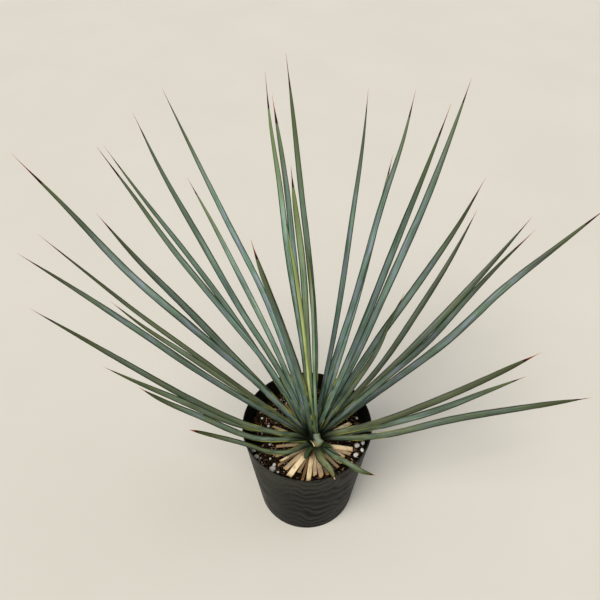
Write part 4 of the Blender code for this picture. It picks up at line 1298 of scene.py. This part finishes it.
def straw_finish():
    """Fibrous straw: streaks along the piece, cream or weathered by its tone, painted shade on its sides,
    orange-brown on the cut end.
    """
    material, shader, put = start_finish("dry_leaf_straw", 0.75)
    labels = ("tone", "along", "end", "margin")
    tone, along, end, margin = [put("Attribute", {"attribute_name": label}, out="Fac") for label in labels]
    spot = put("UVMap", {"uv_map": "metres"})
    fine = put("Mapping", {"Scale": (1 / FIBRE_WIDE, 1 / FIBRE_LONG, 1)}, spot)
    fibres = put("TexNoise", {"Scale": 1, "Detail": 4, "Roughness": 0.6}, fine)
    wide = put("Mapping", {"Scale": (1 / STAIN_WIDE, 1 / STAIN_LONG, 1)}, spot)
    stains = put("TexNoise", {"Scale": 1, "Detail": 3}, wide)
    weathered = put("Mix", OVER, tone, "#54442d", "#e6d8bc")
    colour = coated(
        put, "#6b4f30",
        ("#fbe3b2", tone),
        (weathered, (stains, 0.42, 0.62)),
        ("#b57a30", (stains, 0.54, 0.7, 0, 0.55)),
        ("#6b5230", (fibres, 0.48, 0.7, 0, 0.6)),
        # painted shade on the sides of each base
        ("#7b5b30", (margin, 0.7, 0.95, 0, 0.75)),
        ("#4a3212", (along, 0.05, 0.28, 0.9, 0)),
        ("#b98a4c", (end, 0.2, 0.9, 0, 0.6)),
    )
    feed(shader, Base_Color=colour,
         Normal=put("Bump", {"Strength": 0.7, "Distance": 0.6 * MM, "Height": fibres}))
    return material


dry = add_piece("dry_leaf_bases", straw_finish(), *collar(), crease=50)
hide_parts("stem")
print("dry bases, faces:", len(dry.data.polygons))

# %% [markdown]
# ## The crown
#
# The leaves rise from a low dome where their broad bases clasp one another. Between them it is dark green and
# shaded. Round its foot stand the last bases that were cut while still green.

# %% Crown
CROWN_BASE = 242 * MM
CROWN_RISE = 40 * MM
CROWN_CURVE = ((0.95, 0.17), (0.86, 0.34), (0.62, 0.66), (0.30, 0.93))  # shares of radius and rise
GREEN_STUBS = (  # as above, without a tone
    ((305, 457.8), 240, 12), ((284.8, 454.8), 241, 12), ((325.5, 452), 240, 12), ((340, 456.5), 236, 8),
    ((331, 447), 243, 12), ((284, 441), 243, 11),
)
CROWN_BUMPS = (64, 8, 0.5 * MM)
GREEN_FIRST = 80
GREEN_THICK, GREEN_OUTLINE = 3.2 * MM, (0.9, 1.0, 0.9, 0.6)
GREEN_REACH = 30 * MM  # added to their reach, since they stand out of the deepest shade


def crown_shape():
    """The dome with low spiral bumps, and the green cut bases round it."""
    dome = [(share * STEM_RADIUS, CROWN_BASE + rise * CROWN_RISE) for share, rise in CROWN_CURVE]
    profile = np.array([(STEM_RADIUS - 1 * MM, STEM_TOP + GAP), (STEM_RADIUS, CROWN_BASE), *dome])
    shapes = [core_shape(profile, *CROWN_BUMPS)]
    for number, (pixel, height, width) in enumerate(GREEN_STUBS):
        root_height = CROWN_BASE + (number % 3) * ROOT_STEP
        tone = 0.55 + 0.3 * (number % 3)
        shapes.append(stub_shape(at_height(pixel, height), root_height, width * MM, GREEN_FIRST + number,
                                 tone, GREEN_THICK, GREEN_OUTLINE))
        shapes[-1][2]["reach"] += GREEN_REACH
    return joined(shapes)


GREEN_BASE = leaf_finish("green_leaf_base", "#263a20", "#4f6e42", "#6b7a58", "#47602f", "#55663a", "#7b7f45")
crown = add_piece("crown_of_bases", GREEN_BASE, *crown_shape(), crease=50)
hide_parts("crown")
print("crown, faces:", len(crown.data.polygons))

# %% [markdown]
# ## Floor and light
#
# The plant stands on a plain pale floor under soft studio light: one wide lamp overhead and towards the
# viewer, a weaker one from the side to shape the blades, and a pale surround that fills the shadows. Both
# lamps are far away, so the floor is as bright at the back as at the front.

# %% Floor and light
FLOOR_CLOUD = 400 * MM
AIM = (0, 0, 0.35)  # metres, just above the crown


def floor_finish():
    """Plain pale floor with the faintest unevenness of tone, so that it isn't one dead flat colour."""
    material, shader, put = start_finish("pale_studio_floor", 0.8)
    place = put("TexCoord", {}, out="Object")
    cloud = put("TexNoise", {"Scale": 1 / FLOOR_CLOUD, "Detail": 3}, place)
    feed(shader, Base_Color=coated(put, "#cdc9c0", ("#d3d0c7", cloud)))
    return material


def lamp(name, place, strength, softness, colour):
    """A sun whose wide disc gives the soft shadow of a large panel. It shines from the place to the aim."""
    light = bpy.data.lights.new(name, "SUN")
    light.energy, light.angle, light.color = strength, math.radians(softness), linear(colour)[:3]
    source = bpy.data.objects.new(name, light)
    bpy.context.scene.collection.objects.link(source)
    source.location = place
    aim = np.array(AIM) - np.array(place)
    down, round_z = math.acos(-aim[2] / np.linalg.norm(aim)), math.atan2(aim[1], aim[0]) - math.pi / 2
    source.rotation_euler = (down, 0, round_z)


floor_mesh = bpy.data.meshes.new("floor")
floor_mesh.from_pydata([(-8, -4, 0), (8, -4, 0), (8, 12, 0), (-8, 12, 0)], [], [(0, 1, 2, 3)])
floor_mesh.materials.append(floor_finish())
floor = bpy.data.objects.new("floor", floor_mesh)
bpy.context.scene.collection.objects.link(floor)
lamp("overhead", (-0.9, -1.3, 3.0), 2.7, 35, "#fffaf2")
lamp("side", (2.6, 0.4, 1.9), 0.45, 50, "#f6f9ff")
world = bpy.data.worlds.new("surround")
bpy.context.scene.world = world
world.use_nodes = True
world.node_tree.nodes["Background"].inputs["Color"].default_value = linear("#f4f5f6")
world.node_tree.nodes["Background"].inputs["Strength"].default_value = 0.42
bpy.context.scene.view_settings.view_transform = "Standard"
print("lights:", len(bpy.data.lights))
